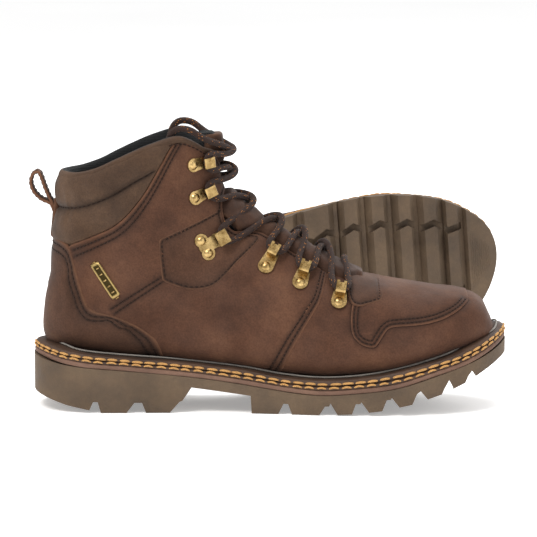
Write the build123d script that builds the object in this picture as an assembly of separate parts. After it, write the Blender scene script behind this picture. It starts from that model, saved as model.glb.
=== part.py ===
"""A pair of insulated lace-up hunting boots. The right boot stands and the left one lies behind it.

Each boot is built upright about its own origin: the ground under the heel, +X to the toe, +Y to
the inner side of the foot, +Z up. The upper is made of layers cut from one body surface, whose
cross sections lie on a fan of planes: level across the ankle, turning about a line in front of the
instep, and upright across the toes.
"""

from build123d import *
import math
import os

# Fan of section planes
FAN_X = 112.0
FAN_Z = 152.0
TOE_REACH = 105.5

# Layers, as depths below the outer face of the upper
LEATHER = 2.0
STIFFENER = 1.3
FOAM_INSIDE = 5.0
LINING_INSIDE = 6.2
TONGUE_OUTER = 7.0
TONGUE_INNER = 12.5
TONGUE_LINING = 13.5
TONGUE_PROUD = 1.6
UPPER_FOOT = 6.7
BOARD = (UPPER_FOOT + 1.9, UPPER_FOOT + 4.4)
BED_TOP = UPPER_FOOT + 9.4

# Sole
MIDSOLE = 3.2
GROOVE_WIDTH = 5.0
SHANK_SIZE = (104.0, 24.0, 2.0)
SHANK_LIFT = 2.1

# Laces and fittings
LACE = 4.2
PLATE = 1.0
HOOK_GAP = 5.0
RIVET_HEAD = 2.9
RIVET_SHANK = 1.5
SHANK_REACH = 2.0
PLATE_LIFT = 0.4
RIVET_APART = 9.2
REACHES = (12.0, 13.6, 15.2, 15.4, 13.0, 12.6)
AGLET = (5.0, 16.0)

# Lace route: heights over the upper, places beside the tunnel, and the tail inside the shaft
LACE_HEIGHT = 3.5
LACE_BACK = (4.2, 4.2, 4.2, 4.0, 4.0, 4.0)
TUNNEL_EXIT = 6.4
PAD_SIDE = 9.5
PAD_LIFT = 6.9
UNDER_LIFT = 7.0
OVER_LIFT = 11.5
BAR_PLANE = -98.0
TAIL_PLANE = 19.0
TAIL = [(28, 176, 4.4), (21, 184.5, 1.2), (11, 184.5, -6.6), (8, 168, -9.8), (5, 152, -10.2), (0, 136, -10.4),
        (-6, 122, -10.6)]

# The left boot lies on its outer side
LYING_PITCH = 4.16
LYING_ROLL = 0.82
LYING_SHIFT = (14.0, 273.0)

# Cross sections: plane, front reach, back reach, half width, centre y, widest share, two squareness
# powers. A plane over 0 is that far above FAN_Z. From 0 to -90 it is turned by that many degrees.
# Under -90 it stands that far in front of FAN_X.
SECTIONS = [
    (36, 76, 172, 42.5, 0, 0.45, 2.1, 2.0),
    (18, 74, 174.5, 42, 0, 0.45, 2.1, 2.0),
    (0, 72.5, 175.5, 40.5, 0, 0.45, 2.1, 2.0),
    (-10, 70.2, 181, 39.2, 0, 0.44, 2.1, 2.0),
    (-20, 63.7, 192.3, 38, 0, 0.43, 2.1, 2.0),
    (-25, 60.5, 204.1, 37.5, -0.3, 0.42, 2.15, 2.0),
    (-30, 58.3, 213.5, 37, -0.6, 0.42, 2.25, 2.0),
    (-33, 57, 209.3, 36, -0.8, 0.42, 2.4, 2.0),
    (-37, 56, 193.9, 36, -1, 0.41, 2.7, 2.0),
    (-45, 53.6, 168.7, 37, -1.5, 0.4, 3.0, 2.0),
    (-60, 52, 143.8, 38.5, -2.5, 0.39, 3.2, 2.0),
    (-75, 53.7, 135, 42, -2, 0.38, 3.2, 2.0),
    (-90, 59.5, 132.6, 46, -2, 0.37, 3.2, 2.05),
    (-105, 67, 131.3, 47.8, -1.8, 0.37, 3.2, 2.2),
    (-122, 70.8, 129.2, 48.3, -2.6, 0.38, 3.2, 2.4),
    (-140, 73.8, 125.4, 47.5, -3, 0.4, 3.2, 2.5),
    (-158, 76.7, 119.7, 43.8, -3.2, 0.42, 3.1, 2.5),
    (-172, 77.4, 115, 38.3, -3.4, 0.43, 3.0, 2.5),
    (-181, 79.4, 112, 32.8, -3.2, 0.44, 2.9, 2.45),
    (-188, 84.8, 109, 26.3, -3, 0.46, 2.8, 2.4),
    (-192.5, 94.5, 107.5, 19, -2.6, 0.5, 2.6, 2.3),
    (-195.2, 102, 106, 9, -2.2, 0.5, 2.5, 2.2),
]
QUADRANT = 4
PLAN_STEPS = 60

# Sole lines, side view (x, z)
SOLE_TOP = [(-84, 35.2), (-42.7, 28.4), (-16.5, 26.4), (14, 23.5), (57, 17.9), (80, 14.4), (104, 12.4),
            (128.5, 14.1), (153, 17.4), (177.5, 24.8), (202, 33), (228, 46)]
WELT_TOP = [(-84, 45.4), (-49.3, 39.8), (-23, 37.2), (3, 35.3), (30, 32.4), (57, 29.1), (76.5, 25.7),
            (100, 23.9), (117, 24.5), (128.5, 25.6), (153, 29.7), (177.5, 35.8), (194, 40.7),
            (210, 47.7), (228, 57)]
GROUND_LINE = [(-84, 12), (-58.4, 4.5), (-36, 0), (105, 0), (124, 0.9), (143, 3.1), (162.4, 7.2),
               (181, 13.3), (196.3, 19.9), (228, 37)]
GROOVE_DEPTH = 6.6
ARCH = [(7.9, 0), (14, 6.9), (15.8, 7.5), (21.7, 16.2), (59.5, 11.2), (60.1, 0)]
NOTCHES = [
    [(-43.7, 1.4), (-41.2, 6.9), (-38.2, 6.9), (-36.3, 0)],
    [(-19.8, 0), (-14.8, 6.4), (-9.9, 6.4), (-7.4, 0)],
    [(77.2, 0), (80.4, 6.6), (83.4, 6.6), (85.8, 0)],
    [(103.3, 0), (106.8, 5.6), (109.5, 5.8), (110.3, 7.8), (114.9, 0.2)],
    [(124, 0.9), (126.4, 7.6), (129.2, 7.6), (130, 8.8), (135, 1.9)],
    [(143.2, 3.1), (146, 10.2), (148.5, 10.5), (149.3, 11.7), (154.2, 5.5)],
    [(162.4, 7.2), (165.3, 14.1), (167.7, 15.8), (172.2, 10.5)],
    [(181.2, 13.3), (182.9, 17), (185.9, 22.3), (188.6, 17.3)],
    [(196.4, 20), (198.2, 24), (200.8, 27.4), (203.4, 23.4)],
]
FORE_GROOVES = (62, 199, 2.4)
HEEL_GROOVES = (-68, 12, 1.8)
ARCH_RIBS = (24.5, 3.9, 9)
OUTLINE = [(-80.8, 0), (-62, -37), (-20, -42), (30, -41), (70, -45), (115, -53), (150, -55), (185, -50),
           (206, -39), (219, -21), (224.2, 1), (219, 19), (205, 32.5), (185, 43), (153, 49.5), (130, 50),
           (90, 44), (45, 35), (0, 36), (-40, 38), (-64, 34)]

# Seams of the upper, side view (x, z)
COUNTER_SEAM = [(-67.6, 110.6), (-60.9, 108.1), (-55.9, 103.3), (-52.3, 91), (-46.1, 71.4), (-41.2, 65.2),
                (-27.7, 61.5), (-15.5, 56.6), (-5.6, 50.5), (0.5, 44.4), (4.5, 32)]
COLLAR_SEAM = [(-55.9, 106.3), (-40, 113.1), (-27.7, 119.2), (-17.9, 127.8), (-8.1, 140.1), (-0.7, 152.3),
               (6.7, 165.9), (14, 178)]
COLLAR_TOP = [(-63.9, 151.8), (-52.3, 152.3), (-40, 155.4), (-27.7, 160.9), (-15.5, 166.4), (-3.2, 171.4),
              (12.8, 176), (22.6, 173.2), (30, 168.3), (39, 163.6)]
LINING_PROUD = 2.0
VAMP_SEAM = [(108.4, 79.9), (77.7, 26)]
MOC_SEAM = [(127.6, 83.4), (123.5, 64.8), (124, 52.6), (128.5, 46.1), (134.2, 43.6), (139.1, 44),
            (143.2, 50.2), (147.3, 55.9), (153, 56.7), (169.3, 57.5), (181.6, 60.7), (192.3, 65.7), (201.3, 73.1)]
TAB = [(127.8, 100), (143.6, 100), (143.7, 72.5), (139.2, 70.6), (130.8, 68.6)]
PATCH = [(3, 111.9), (1.1, 109.4), (3, 86.1), (4.2, 84.2), (21.4, 78.7), (32.4, 79.9), (39.8, 84),
         (64.3, 109.4), (45.9, 130.3)]
BADGE = [(-42.5, 94.1), (-37.3, 96.9), (-23.4, 76), (-28.6, 72.4)]
BACKSTAY_HALF = 7.0
BACKSTAY_TOP = 129.1
COUNTER_TOP = 110.6

# Throat opening: two ends of its line (x, z), with the half width at each
THROAT_LOW = (126.5, 84, 13.0)
THROAT_HIGH = (40, 172, 19.5)
THROAT_HINGE = (122.5, 82.5)

# Fittings on each side, side view: (rivet x, z), (head x, z)
SPEED_HOOKS = [((22.6, 157.8), (31.2, 159.7)), ((23.8, 136.6), (32.4, 140.7))]
LOCKING_HOOK = ((27.1, 108.8), (33.0, 101.8), (39.1, 110.4))
D_RINGS = [((69.1, 92.8), (75.9, 103.3)), ((91, 83), (94.9, 92.8)), ((115.6, 71.4), (117.4, 80.2))]

LACE_HEADS = [(117.4, 80.2), (94.9, 92.8), (75.9, 103.3), (39.1, 110.4), (32.4, 140.7), (31.2, 159.7)]

# Pull loop, side view, at the back of the collar
LOOP_PIVOT = (-69.6, 130.6)
LOOP_WIDTH = 14.0
LOOP_OUTER = [(-68.9, 129), (-73.6, 130.6), (-79.4, 135), (-82.9, 141.5), (-83.2, 148.2), (-79.6, 152.8),
              (-75.4, 151.8), (-73.4, 147.5), (-71.6, 142.2), (-69, 136.6), (-67.9, 132.6)]
LOOP_INNER = [(-71.6, 133.6), (-76.4, 136.8), (-79.9, 142.4), (-80.1, 147.2), (-78.4, 149.4), (-76.4, 147.2),
              (-74.4, 141.4), (-72.2, 136.6)]


def blend(values, t):
    """Catmull-Rom through four values."""
    a, b, c, d = values
    return b + 0.5 * t * (c - a + t * (2 * a - 5 * b + 4 * c - d + t * (3 * (b - c) + d - a)))


def section_at(plane):
    """The section values on any plane of the fan."""
    last = len(SECTIONS) - 1
    i = next((k for k in range(1, last) if plane >= SECTIONS[k][0]), last)
    rows = [SECTIONS[max(0, min(last, k))] for k in (i - 2, i - 1, i, i + 1)]
    t = (rows[1][0] - plane) / (rows[1][0] - rows[2][0])
    return [blend([row[k] for row in rows], t) for k in range(1, 8)]


def side_point(plane, reach):
    """The side view point at a distance from the fan's line, on one plane."""
    if plane >= 0:
        return FAN_X - reach, FAN_Z + plane
    if plane < -90:
        return FAN_X - 90 - plane, FAN_Z - reach
    turn = math.radians(90 + plane)
    return FAN_X - reach * math.sin(turn), FAN_Z - reach * math.cos(turn)


def fan_plane(x, z):
    """The plane and reach of a side view point."""
    if z >= FAN_Z:
        return z - FAN_Z, FAN_X - x
    if x >= FAN_X:
        return FAN_X - x - 90, FAN_Z - z
    turn = math.degrees(math.atan2(FAN_X - x, FAN_Z - z))
    return turn - 90, math.hypot(FAN_X - x, FAN_Z - z)


def half_shape(share, widest, back_power, front_power):
    """Half width, as a share of the widest, at a share of the way from the back to the front."""
    if share < widest:
        return max(0, 1 - ((widest - share) / widest) ** back_power) ** (1 / back_power)
    return max(0, 1 - ((share - widest) / (1 - widest)) ** front_power) ** (1 / front_power)


def on_upper(x, z, side, lift=0.0):
    """The point of the upper over a side view point, on the outer (-1) or inner (1) side."""
    plane, reach = fan_plane(x, z)
    front, back, width, centre, widest, back_power, front_power = section_at(plane)
    share = (back - reach) / (back - front)
    y = centre + side * width * half_shape(share, widest, back_power, front_power)
    if not lift:
        return Vector(x, y, z)
    return Vector(x, y, z) + normal_at(x, z, side) * lift


def normal_at(x, z, side):
    """The outward normal of the upper there."""
    step = 0.5
    along_x = on_upper(x + step, z, side) - on_upper(x - step, z, side)
    along_z = on_upper(x, z + step, side) - on_upper(x, z - step, side)
    out = along_x.cross(along_z).normalized()
    return out if out.Y * side > 0 else out * -1


def section_wire(row, depth):
    """One closed cross section, at a depth inside the outer face."""
    plane, front, back, width, centre, widest, back_power, front_power = row
    front, back, width = front + depth, back - depth, width - depth
    if plane < -90:
        plane = -90 + (plane + 90) * (1 - depth / TOE_REACH)
    centre_reach = (front + back) / 2
    front, back = min(front, centre_reach - 0.5), max(back, centre_reach + 0.5)
    width = max(width, 1.5)
    points = []
    for k in range(4 * QUADRANT):
        angle = math.pi / 2 * k / QUADRANT
        c, s = math.cos(angle), math.sin(angle)
        rear = c > 0
        power = back_power if rear else front_power
        share = widest - math.copysign(abs(c) ** (2 / power), c) * (widest if rear else 1 - widest)
        x, z = side_point(plane, back - share * (back - front))
        points.append((x, centre + math.copysign(abs(s) ** (2 / power), s) * width, z))
    return Wire(Polyline(*points, close=True).edges())


BODIES = {}


def body(depth):
    """The solid inside one layer of the upper."""
    if depth not in BODIES:
        BODIES[depth] = Solid.make_loft([section_wire(row, depth) for row in SECTIONS], ruled=True)
    return BODIES[depth]


def side_prism(lines, low=-90.0, high=90.0):
    """A prism along Y from a side view outline made of edges that join up."""
    face = make_face(Wire(lines))
    return extrude(face.moved(Location((0, high, 0))), high - low, dir=(0, -1, 0))


def side_lines(points, smooth=False):
    """The edges of a side view line."""
    places = [(x, 0, z) for x, z in points]
    return (Spline(*places) if smooth else Polyline(*places)).edges()


def side_polygon(points, low=-90.0, high=90.0):
    """A prism along Y from a side view polygon."""
    return side_prism(side_lines(points + points[:1]), low, high)


def band(low_line, high_line, straight_low=False):
    """The slab between two side view lines that share their end x values."""
    ends = side_lines([low_line[-1], high_line[-1]]) + side_lines([high_line[0], low_line[0]])
    return side_prism(side_lines(low_line, not straight_low) + side_lines(high_line, True) + ends)


def raised(line, height):
    """A side view line moved up."""
    return [(x, z + height) for x, z in line]


def plan_prism(inset=0.0):
    """The upright prism of the sole's outline, moved in by a distance."""
    outline = Wire(Spline(*[(x, y, -20) for x, y in OUTLINE], periodic=True).edges())
    if inset:
        shares = [k / PLAN_STEPS for k in range(PLAN_STEPS)]
        spots = [outline @ t + Vector(0, 0, 1).cross(outline % t) * inset for t in shares]
        outline = Wire(Polyline(*spots, close=True).edges())
    return extrude(make_face(outline), 140, dir=(0, 0, 1))


def ground_notch(corners):
    """The prism of one notch across the tread, open below."""
    low = -20
    return side_polygon(corners + [(corners[-1][0], low), (corners[0][0], low)])


def long_groove(middle, start, end, swing):
    """A zigzag groove along the tread, as an upright prism in plan."""
    count = max(2, round((end - start) / 9.8))
    xs = [start + (end - start) * k / count for k in range(count + 1)]
    near = [(x, middle(x) - GROOVE_WIDTH / 2 + swing * (-1) ** k, -5) for k, x in enumerate(xs)]
    far = [(x, y + GROOVE_WIDTH, z) for x, y, z in near]
    face = make_face(Polyline(*near, *reversed(far), close=True))
    return extrude(face, 60, dir=(0, 0, 1))


def fore_groove_middle(side):
    """The middle line of a forepart groove: nearest the edge at the ball of the foot."""
    return lambda x: -2.5 + side * (30.5 - 0.0022 * (x - 140) ** 2)


def make_outsole():
    """The lugged outsole with its raised heel and ribbed shank."""
    sole = band(GROUND_LINE, SOLE_TOP, straight_low=True) & plan_prism()
    for corners in NOTCHES + [ARCH]:
        sole -= ground_notch(corners)
    tread = band([(-84, -20), (0, -20), (228, -20)], raised(GROUND_LINE, GROOVE_DEPTH - 0.8))
    grooves = [long_groove(fore_groove_middle(side), *FORE_GROOVES) for side in (-1, 1)]
    grooves += [long_groove(lambda x, y=y: y, *HEEL_GROOVES) for y in (-19, 17)]
    for groove in grooves:
        sole -= groove & tread
    start, pitch, count = ARCH_RIBS
    (x0, z0), (x1, z1) = ARCH[3], ARCH[4]
    for k in range(count):
        x = start + pitch * k
        floor = z0 + (x - x0) * (z1 - z0) / (x1 - x0)
        sole -= side_polygon([(x, floor - 2), (x, floor + 0.9), (x + 1.7, floor + 0.7), (x + 1.7, floor - 2)],
                             -34, 28)
    return sole


def make_midsole():
    """The thin midsole edge, with the filler that lifts inside it to the lasted upper."""
    edge = band(SOLE_TOP, raised(SOLE_TOP, MIDSOLE)) & plan_prism(0.6)
    filler = band(raised(SOLE_TOP, MIDSOLE), WELT_TOP) & plan_prism(14)
    return edge + (filler - body(0)) - shank_block(0)


def shank_block(clear):
    """The shank's straight bar under the arch."""
    length, width, thick = SHANK_SIZE
    low, high = (-28.0, 27.0), (68.0, 17.0)
    tilt = -math.degrees(math.atan2(high[1] - low[1], high[0] - low[0]))
    bar = Box(length - clear, width, thick)
    return Location(((low[0] + high[0]) / 2, -3, (low[1] + high[1]) / 2 + SHANK_LIFT), (0, tilt, 0)) * bar


def make_welt():
    """The storm welt round the foot of the upper."""
    ring = band(raised(SOLE_TOP, MIDSOLE), WELT_TOP) & plan_prism(1.2)
    return ring - plan_prism(14) - body(0)


def bottom_band(low, high):
    """The slab between two heights over the foot of the upper."""
    return band(raised(SOLE_TOP, low), raised(SOLE_TOP, high))


def throat_cut(widen=0.0, low=-38.0):
    """The tapered opening down the front, from the collar to the tab."""
    x0, z0, half0 = THROAT_LOW
    x1, z1, half1 = THROAT_HIGH
    run = Vector(x1 - x0, 0, z1 - z0)
    length = run.length + 30
    grow = (half1 - half0) / run.length * length
    up = Plane(origin=(x0, -2.0, z0), x_dir=run.normalized(), z_dir=Vector(0, 1, 0).cross(run).normalized() * -1)
    if up.z_dir.X < 0:
        up = Plane(origin=up.origin, x_dir=up.x_dir, z_dir=up.z_dir * -1)
    half0, half1 = half0 + widen, half0 + widen + grow
    corners = [(-widen, -half0), (length, -half1), (length, half1), (-widen, half0)]
    shape = make_face(Polyline(*[up.from_local_coords((a, b, low)) for a, b in corners], close=True))
    return extrude(shape, 60 - low, dir=up.z_dir)


def leather_shell():
    """The outer layer before it is cut into panels, with its lasting margin turned under."""
    margin = plan_prism(22) & bottom_band(-20, UPPER_FOOT + 1.9)
    return body(0) - body(LEATHER) - margin - throat_cut()


def region(line, closing, smooth=False):
    """A side view prism bounded by a seam and the points that close it."""
    edges = side_lines(line, smooth) + side_lines([line[-1]] + closing + [line[0]])
    return side_prism(edges)


def make_panels():
    """The leather panels of the upper, which meet edge to edge."""
    shell = leather_shell()
    under_top = region(COLLAR_TOP, [(260, 163.6), (260, -10), (-120, -10), (-120, 151.8)])
    counter_zone = region(COUNTER_SEAM, [(4.5, -10), (-120, -10), (-120, COUNTER_TOP)])
    collar_zone = region(COLLAR_SEAM, [(14, 220), (-120, 220), (-120, 106.3)])
    front_of_vamp = side_polygon([(108.4, 79.9), (112, 130), (260, 130), (260, -10), (60, -10), (77.7, 26)])
    plug = region(MOC_SEAM, [(230, 73.1), (230, 130), (127.6, 130)])
    tab = side_polygon(TAB) & plan_strip(30)
    stay = Pos(-90, 0, (BACKSTAY_TOP + COUNTER_TOP) / 2) * Box(
        100, 2 * BACKSTAY_HALF, BACKSTAY_TOP - COUNTER_TOP)
    panels = {}
    panels["heel_counter"] = shell & counter_zone
    rest = (shell & under_top) - counter_zone
    panels["backstay"] = rest & stay
    rest = rest - stay - collar_zone
    panels["throat_tab"] = rest & tab
    rest = rest - tab
    forepart = rest & front_of_vamp
    panels["apron"] = forepart & plug
    panels["vamp"] = forepart - plug
    quarters = rest - front_of_vamp
    patch = side_polygon(PATCH)
    panels["ankle_patches"] = quarters & patch
    quarters = quarters - patch
    outer_half = Pos(60, -100, 90) * Box(500, 200, 300)
    panels["lateral_quarter"] = quarters & outer_half
    panels["medial_quarter"] = quarters - outer_half
    padded = (body(0) - body(FOAM_INSIDE)) & under_top & collar_zone
    panels["collar"] = padded - counter_zone - stay - throat_cut()
    return panels


def plan_strip(half):
    """An upright slab about the middle plane."""
    return Pos(60, -2, 90) * Box(500, 2 * half, 300)


def make_inside():
    """The board, footbed, stiffeners, insulation and linings."""
    inside = {}
    board_zone = bottom_band(BOARD[0], BOARD[1])
    foot_zone = bottom_band(-30, BOARD[1])
    bed_zone = bottom_band(BOARD[1], BED_TOP)
    collar_zone = region(COLLAR_SEAM, [(14, 220), (-120, 220), (-120, 106.3)])
    lining_top = region(raised(COLLAR_TOP, LINING_PROUD), [(260, 163.6), (260, -10), (-120, -10), (-120, 151.8)])
    under_top = region(COLLAR_TOP, [(260, 163.6), (260, -10), (-120, -10), (-120, 151.8)])
    throat = throat_cut()
    inside["insole_board"] = body(LEATHER) & board_zone
    stiff = body(LEATHER) - body(LEATHER + STIFFENER) - foot_zone
    puff_zone = side_polygon([(184, -10), (184, 66), (196, 110), (260, 110), (260, -10)])
    cup_zone = side_polygon([(-120, -10), (-120, 100), (-62, 100), (-56, 84), (-50, 62), (-22, 50), (-22, -10)])
    inside["toe_puff"] = stiff & puff_zone
    inside["heel_stiffener"] = stiff & cup_zone
    wall = body(LEATHER) - body(FOAM_INSIDE) - foot_zone
    wall = wall - inside["toe_puff"] - inside["heel_stiffener"]
    inside["insulation"] = (wall & under_top) - throat - collar_zone
    sock = body(FOAM_INSIDE) - body(LINING_INSIDE) - foot_zone
    inside["lining"] = (sock & under_top) - throat - collar_zone
    cuff = (body(FOAM_INSIDE) - body(LINING_INSIDE)) & collar_zone & lining_top
    roll = (body(1.0) - body(FOAM_INSIDE)) & collar_zone & lining_top - under_top
    inside["collar_lining"] = (cuff + roll) - throat
    inside["footbed"] = body(LINING_INSIDE) & bed_zone
    return inside


def make_tongue():
    """The padded tongue and its mesh backing."""
    cap = side_polygon([(THROAT_HINGE[0], 60), (THROAT_HINGE[0] - 3, 140), (60, 200), (41.5, 174), (20, 166),
                        (20, 100), (60, 60)])
    wings = (body(TONGUE_OUTER) - body(TONGUE_INNER)) & throat_cut(2.0, -30)
    pad = (body(-TONGUE_PROUD) - body(TONGUE_OUTER)) & throat_cut(-5.0, -30)
    backing = (body(TONGUE_INNER) - body(TONGUE_LINING)) & throat_cut(1.5, -34)
    return (wings + pad) & cap, backing & cap


def make_pull_loop():
    """The leather pull loop at the back."""
    outer = side_prism(Spline(*[(x, 0, z) for x, z in LOOP_OUTER], periodic=True).edges(),
                       -LOOP_WIDTH / 2, LOOP_WIDTH / 2)
    hole = side_prism(Spline(*[(x, 0, z) for x, z in LOOP_INNER], periodic=True).edges())
    return outer - hole


def local_plane(rivet, head, side):
    """A plane on the upper at the rivet, with x towards the head and z outwards."""
    out = normal_at(*rivet, side)
    to_head = on_upper(*head, side) - on_upper(*rivet, side)
    to_head = to_head - out * to_head.dot(out)
    return Plane(origin=on_upper(*rivet, side), x_dir=to_head.normalized(), z_dir=out)


def drop_plate(rear, front, reach):
    """A flat teardrop plate: a round end at the rivet and a narrower one at the head."""
    sides = [(0, -rear), (reach, -front), (reach, front), (0, rear)]
    web = extrude(make_face(Polyline(*[(x, y, 0) for x, y in sides], close=True)), PLATE, dir=(0, 0, 1))
    return Pos(0, 0, PLATE / 2) * Cylinder(rear, PLATE) + web


def bent_strip(profile, width):
    """A strip of plate that keeps one side profile (x, z) over its width."""
    face = make_face(Polyline(*[(x, -width / 2, z) for x, z in profile], close=True))
    return extrude(face, width, dir=(0, 1, 0))


def hook(reach, width, rear):
    """An open hook: plate, bend on the throat side and a head that comes back over the lace."""
    top = PLATE + HOOK_GAP
    back = reach - 7.6
    profile = [(back, 0), (reach, 0), (reach + 0.6, 0.6), (reach + 0.6, top + 0.4), (reach, top + PLATE),
               (back + 0.8, top + PLATE), (back + 0.2, top), (reach - PLATE + 0.4, top),
               (reach - PLATE + 0.4, PLATE), (back, PLATE)]
    return drop_plate(rear, width / 2 - 0.4, reach - 1.0) + bent_strip(profile, width)


def ring(reach):
    """A closed lace loop: plate, tunnel and the two short horns at its front."""
    top = PLATE + HOOK_GAP
    back = reach - 7.4
    tunnel = bent_strip([(back, 0), (reach, 0), (reach, top + PLATE), (back + 0.4, top + PLATE),
                         (back - 0.6, top)], 6.4)
    opening = bent_strip([(back + 0.6, PLATE), (reach - PLATE, PLATE), (reach - PLATE, top), (back + 0.6, top)], 9)
    notch = Pos(reach, 0, top) * Box(3.2, 2.6, 3.4)
    return drop_plate(5.0, 3.6, reach - 1.0) + tunnel - opening - notch


def rivet_shape():
    """A domed rivet with its shank through the leather."""
    radius = RIVET_HEAD * 1.3
    low = PLATE
    ball = Pos(0, 0, low + 1.5 - radius) * Sphere(radius)
    dome = ball & Pos(0, 0, low + 5) * Box(20, 20, 10)
    return dome + Pos(0, 0, low / 2 - SHANK_REACH / 2) * Cylinder(RIVET_SHANK, low + SHANK_REACH)


def fitting_places(side):
    """The lifted local plane of every fitting on one side, from the lowest to the highest."""
    places = [local_plane(rivet, head, side) for rivet, head in reversed(D_RINGS)]
    low, high, head = LOCKING_HOOK[1], LOCKING_HOOK[0], LOCKING_HOOK[2]
    middle = ((low[0] + high[0]) / 2, (low[1] + high[1]) / 2)
    places.append(local_plane(middle, head, side))
    places += [local_plane(rivet, head, side) for rivet, head in reversed(SPEED_HOOKS)]
    return [Plane(origin=place.origin + place.z_dir * PLATE_LIFT, x_dir=place.x_dir, z_dir=place.z_dir)
            for place in places]


def make_fittings():
    """Hooks, rings and rivets on both sides, and the rivet holes through the leather."""
    groups = {"d_rings": [], "locking_hooks": [], "speed_hooks": [], "rivets": []}
    holes = []
    for side in (-1, 1):
        for level, place in enumerate(fitting_places(side)):
            kind = "d_rings" if level < 3 else "locking_hooks" if level == 3 else "speed_hooks"
            spots = [(0, -RIVET_APART / 2), (0, RIVET_APART / 2)] if level == 3 else [(0, 0)]
            shape = {"d_rings": ring(REACHES[level]), "locking_hooks": hook(REACHES[level], 9.0, 4.0),
                     "speed_hooks": hook(REACHES[level], 6.6, 4.3)}[kind]
            for x, y in spots:
                shape += Pos(x, y, PLATE / 2) * Cylinder(4.4, PLATE)
            for x, y in spots:
                shank = Pos(x, y, 0) * Cylinder(RIVET_SHANK, 2 * SHANK_REACH + 2 * PLATE)
                shape -= shank
                holes.append(place * shank)
                groups["rivets"].append(place * (Pos(x, y, 0) * rivet_shape()))
            groups[kind].append(place * shape)
    return {name: Compound(shapes) for name, shapes in groups.items()}, Compound(holes)


def ridge(plane, lift, y=0.0):
    """A point over the front of the tongue on one plane of the fan, at a sideways place."""
    front, back, width, centre, widest, _, power = section_at(plane)
    x, z = side_point(plane, front)
    inner_x, inner_z = side_point(plane, back)
    span = (back - front) * (1 - widest)
    drop = span * (1 - max(0, 1 - abs((y - centre) / width) ** power) ** (1 / power))
    out = Vector(x - inner_x, 0, z - inner_z).normalized()
    return Vector(x, y, z) + out * (lift - drop)


def lace_half(side, high):
    """The lace's control points from one lowest ring up to its tail, as a list of vectors."""
    points = []
    places = {-1: fitting_places(-1), 1: fitting_places(1)}
    planes = [fan_plane(head[0], head[1])[0] for head in LACE_HEADS]
    for level in range(6):
        now = side if level % 2 == 0 else -side
        place = places[now][level]
        middle = REACHES[level] - LACE_BACK[level]
        toe_way = 1 if place.y_dir.X > 0 else -1
        for way in (toe_way, -toe_way):
            points.append(place.from_local_coords((middle, way * TUNNEL_EXIT, LACE_HEIGHT)))
        step = planes[level + 1] if level < 5 else TAIL_PLANE
        over = OVER_LIFT if high == (level % 2 == 0) else UNDER_LIFT
        for share in (0.26, 0.5, 0.74):
            plane = planes[level] + (step - planes[level]) * share
            reach = PAD_SIDE * (1 - 2 * share) / 0.48
            lift = over if share == 0.5 else PAD_LIFT
            points.append(ridge(plane, lift, now * reach))
    for x, z, lift in TAIL:
        points.append(on_upper(x, z, side, lift))
    return points


def turn_radii(points):
    """Arc radii as large as the runs either side of each corner allow."""
    radii = []
    for a, b, c in zip(points, points[1:], points[2:]):
        turn = math.radians((b - a).get_angle(c - b))
        reach = 0.45 * min((b - a).length, (c - b).length)
        radii.append(reach / math.tan(turn / 2))
    return radii


def make_lace():
    """The whole lace along its crossed route, and its two tips."""
    left = lace_half(-1, True)
    right = lace_half(1, False)
    bar = [ridge(BAR_PLANE, lift, y) for y, lift in ((-11, 6.6), (0, 6.9), (11, 6.6))]
    points = list(reversed(left)) + bar + right
    radii = turn_radii(points)
    path = Wire(FilletPolyline(*points, radius=radii).edges())
    start = Plane(origin=path @ 0, z_dir=path % 0)
    lace = sweep(start * Circle(LACE / 2), path=path)
    print("lace length", round(path.length, 1), "tightest bend", round(min(radii), 2), "volume share",
          round(lace.volume / (path.length * math.pi * LACE ** 2 / 4), 3))
    tips = []
    for end, inner in ((points[0], points[1]), (points[-1], points[-2])):
        out = (end - inner).normalized()
        tip = Plane(origin=end + out * AGLET[1] / 2, z_dir=out) * Cylinder(AGLET[0] / 2, AGLET[1])
        tips.append(tip)
    return lace, Compound(tips)


def make_badge():
    """The thin metal badge that follows the outer side of the quarter."""
    outer = Pos(60, -100, 90) * Box(500, 200, 300)
    return (body(-0.9) - body(0)) & side_polygon(BADGE) & outer


def lay_down(shape, drop=0.0):
    """Turn an upright right boot into the left boot lying on its outer side."""
    other = mirror(shape, about=Plane.XZ)
    other = Rot(-90 - LYING_ROLL, 0, 0) * other
    other = Rot(0, -LYING_PITCH, 0) * other
    return Pos(LYING_SHIFT[0], LYING_SHIFT[1], -drop) * other


def make_boot():
    """Every piece of one upright right boot."""
    pieces = {"outsole": make_outsole(), "midsole": make_midsole(), "welt": make_welt()}
    pieces["shank"] = shank_block(0.0)
    pieces.update(make_panels())
    pieces.update(make_inside())
    pieces["tongue"], pieces["tongue_lining"] = make_tongue()
    pieces["pull_loop"] = make_pull_loop()
    pieces["badge"] = make_badge()
    fittings, holes = make_fittings()
    for name in ("lateral_quarter", "medial_quarter", "vamp", "ankle_patches"):
        pieces[name] = pieces[name] - holes
    pieces.update(fittings)
    lace, pieces["aglets"] = make_lace()
    for name in ("d_rings", "locking_hooks", "speed_hooks"):
        lace = lace - pieces[name]
    pieces["lace"] = lace
    pieces["tongue"] = pieces["tongue"] - lace
    return pieces


def main():
    """Build both boots and write every node."""
    boot = make_boot()
    lowest = min(lay_down(shape).bounding_box().min.Z for shape in boot.values())
    os.makedirs("parts", exist_ok=True)
    for name, shape in boot.items():
        export_step(shape, f"parts/right_{name}.step")
        export_step(lay_down(shape, lowest), f"parts/left_{name}.step")
    print("lying drop", round(lowest, 3))


main()
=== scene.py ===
"""The visual model of a pair of insulated hunting boots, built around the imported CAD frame."""
import math

import bpy
import numpy as np
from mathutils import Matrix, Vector
from mathutils.geometry import delaunay_2d_cdt


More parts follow.
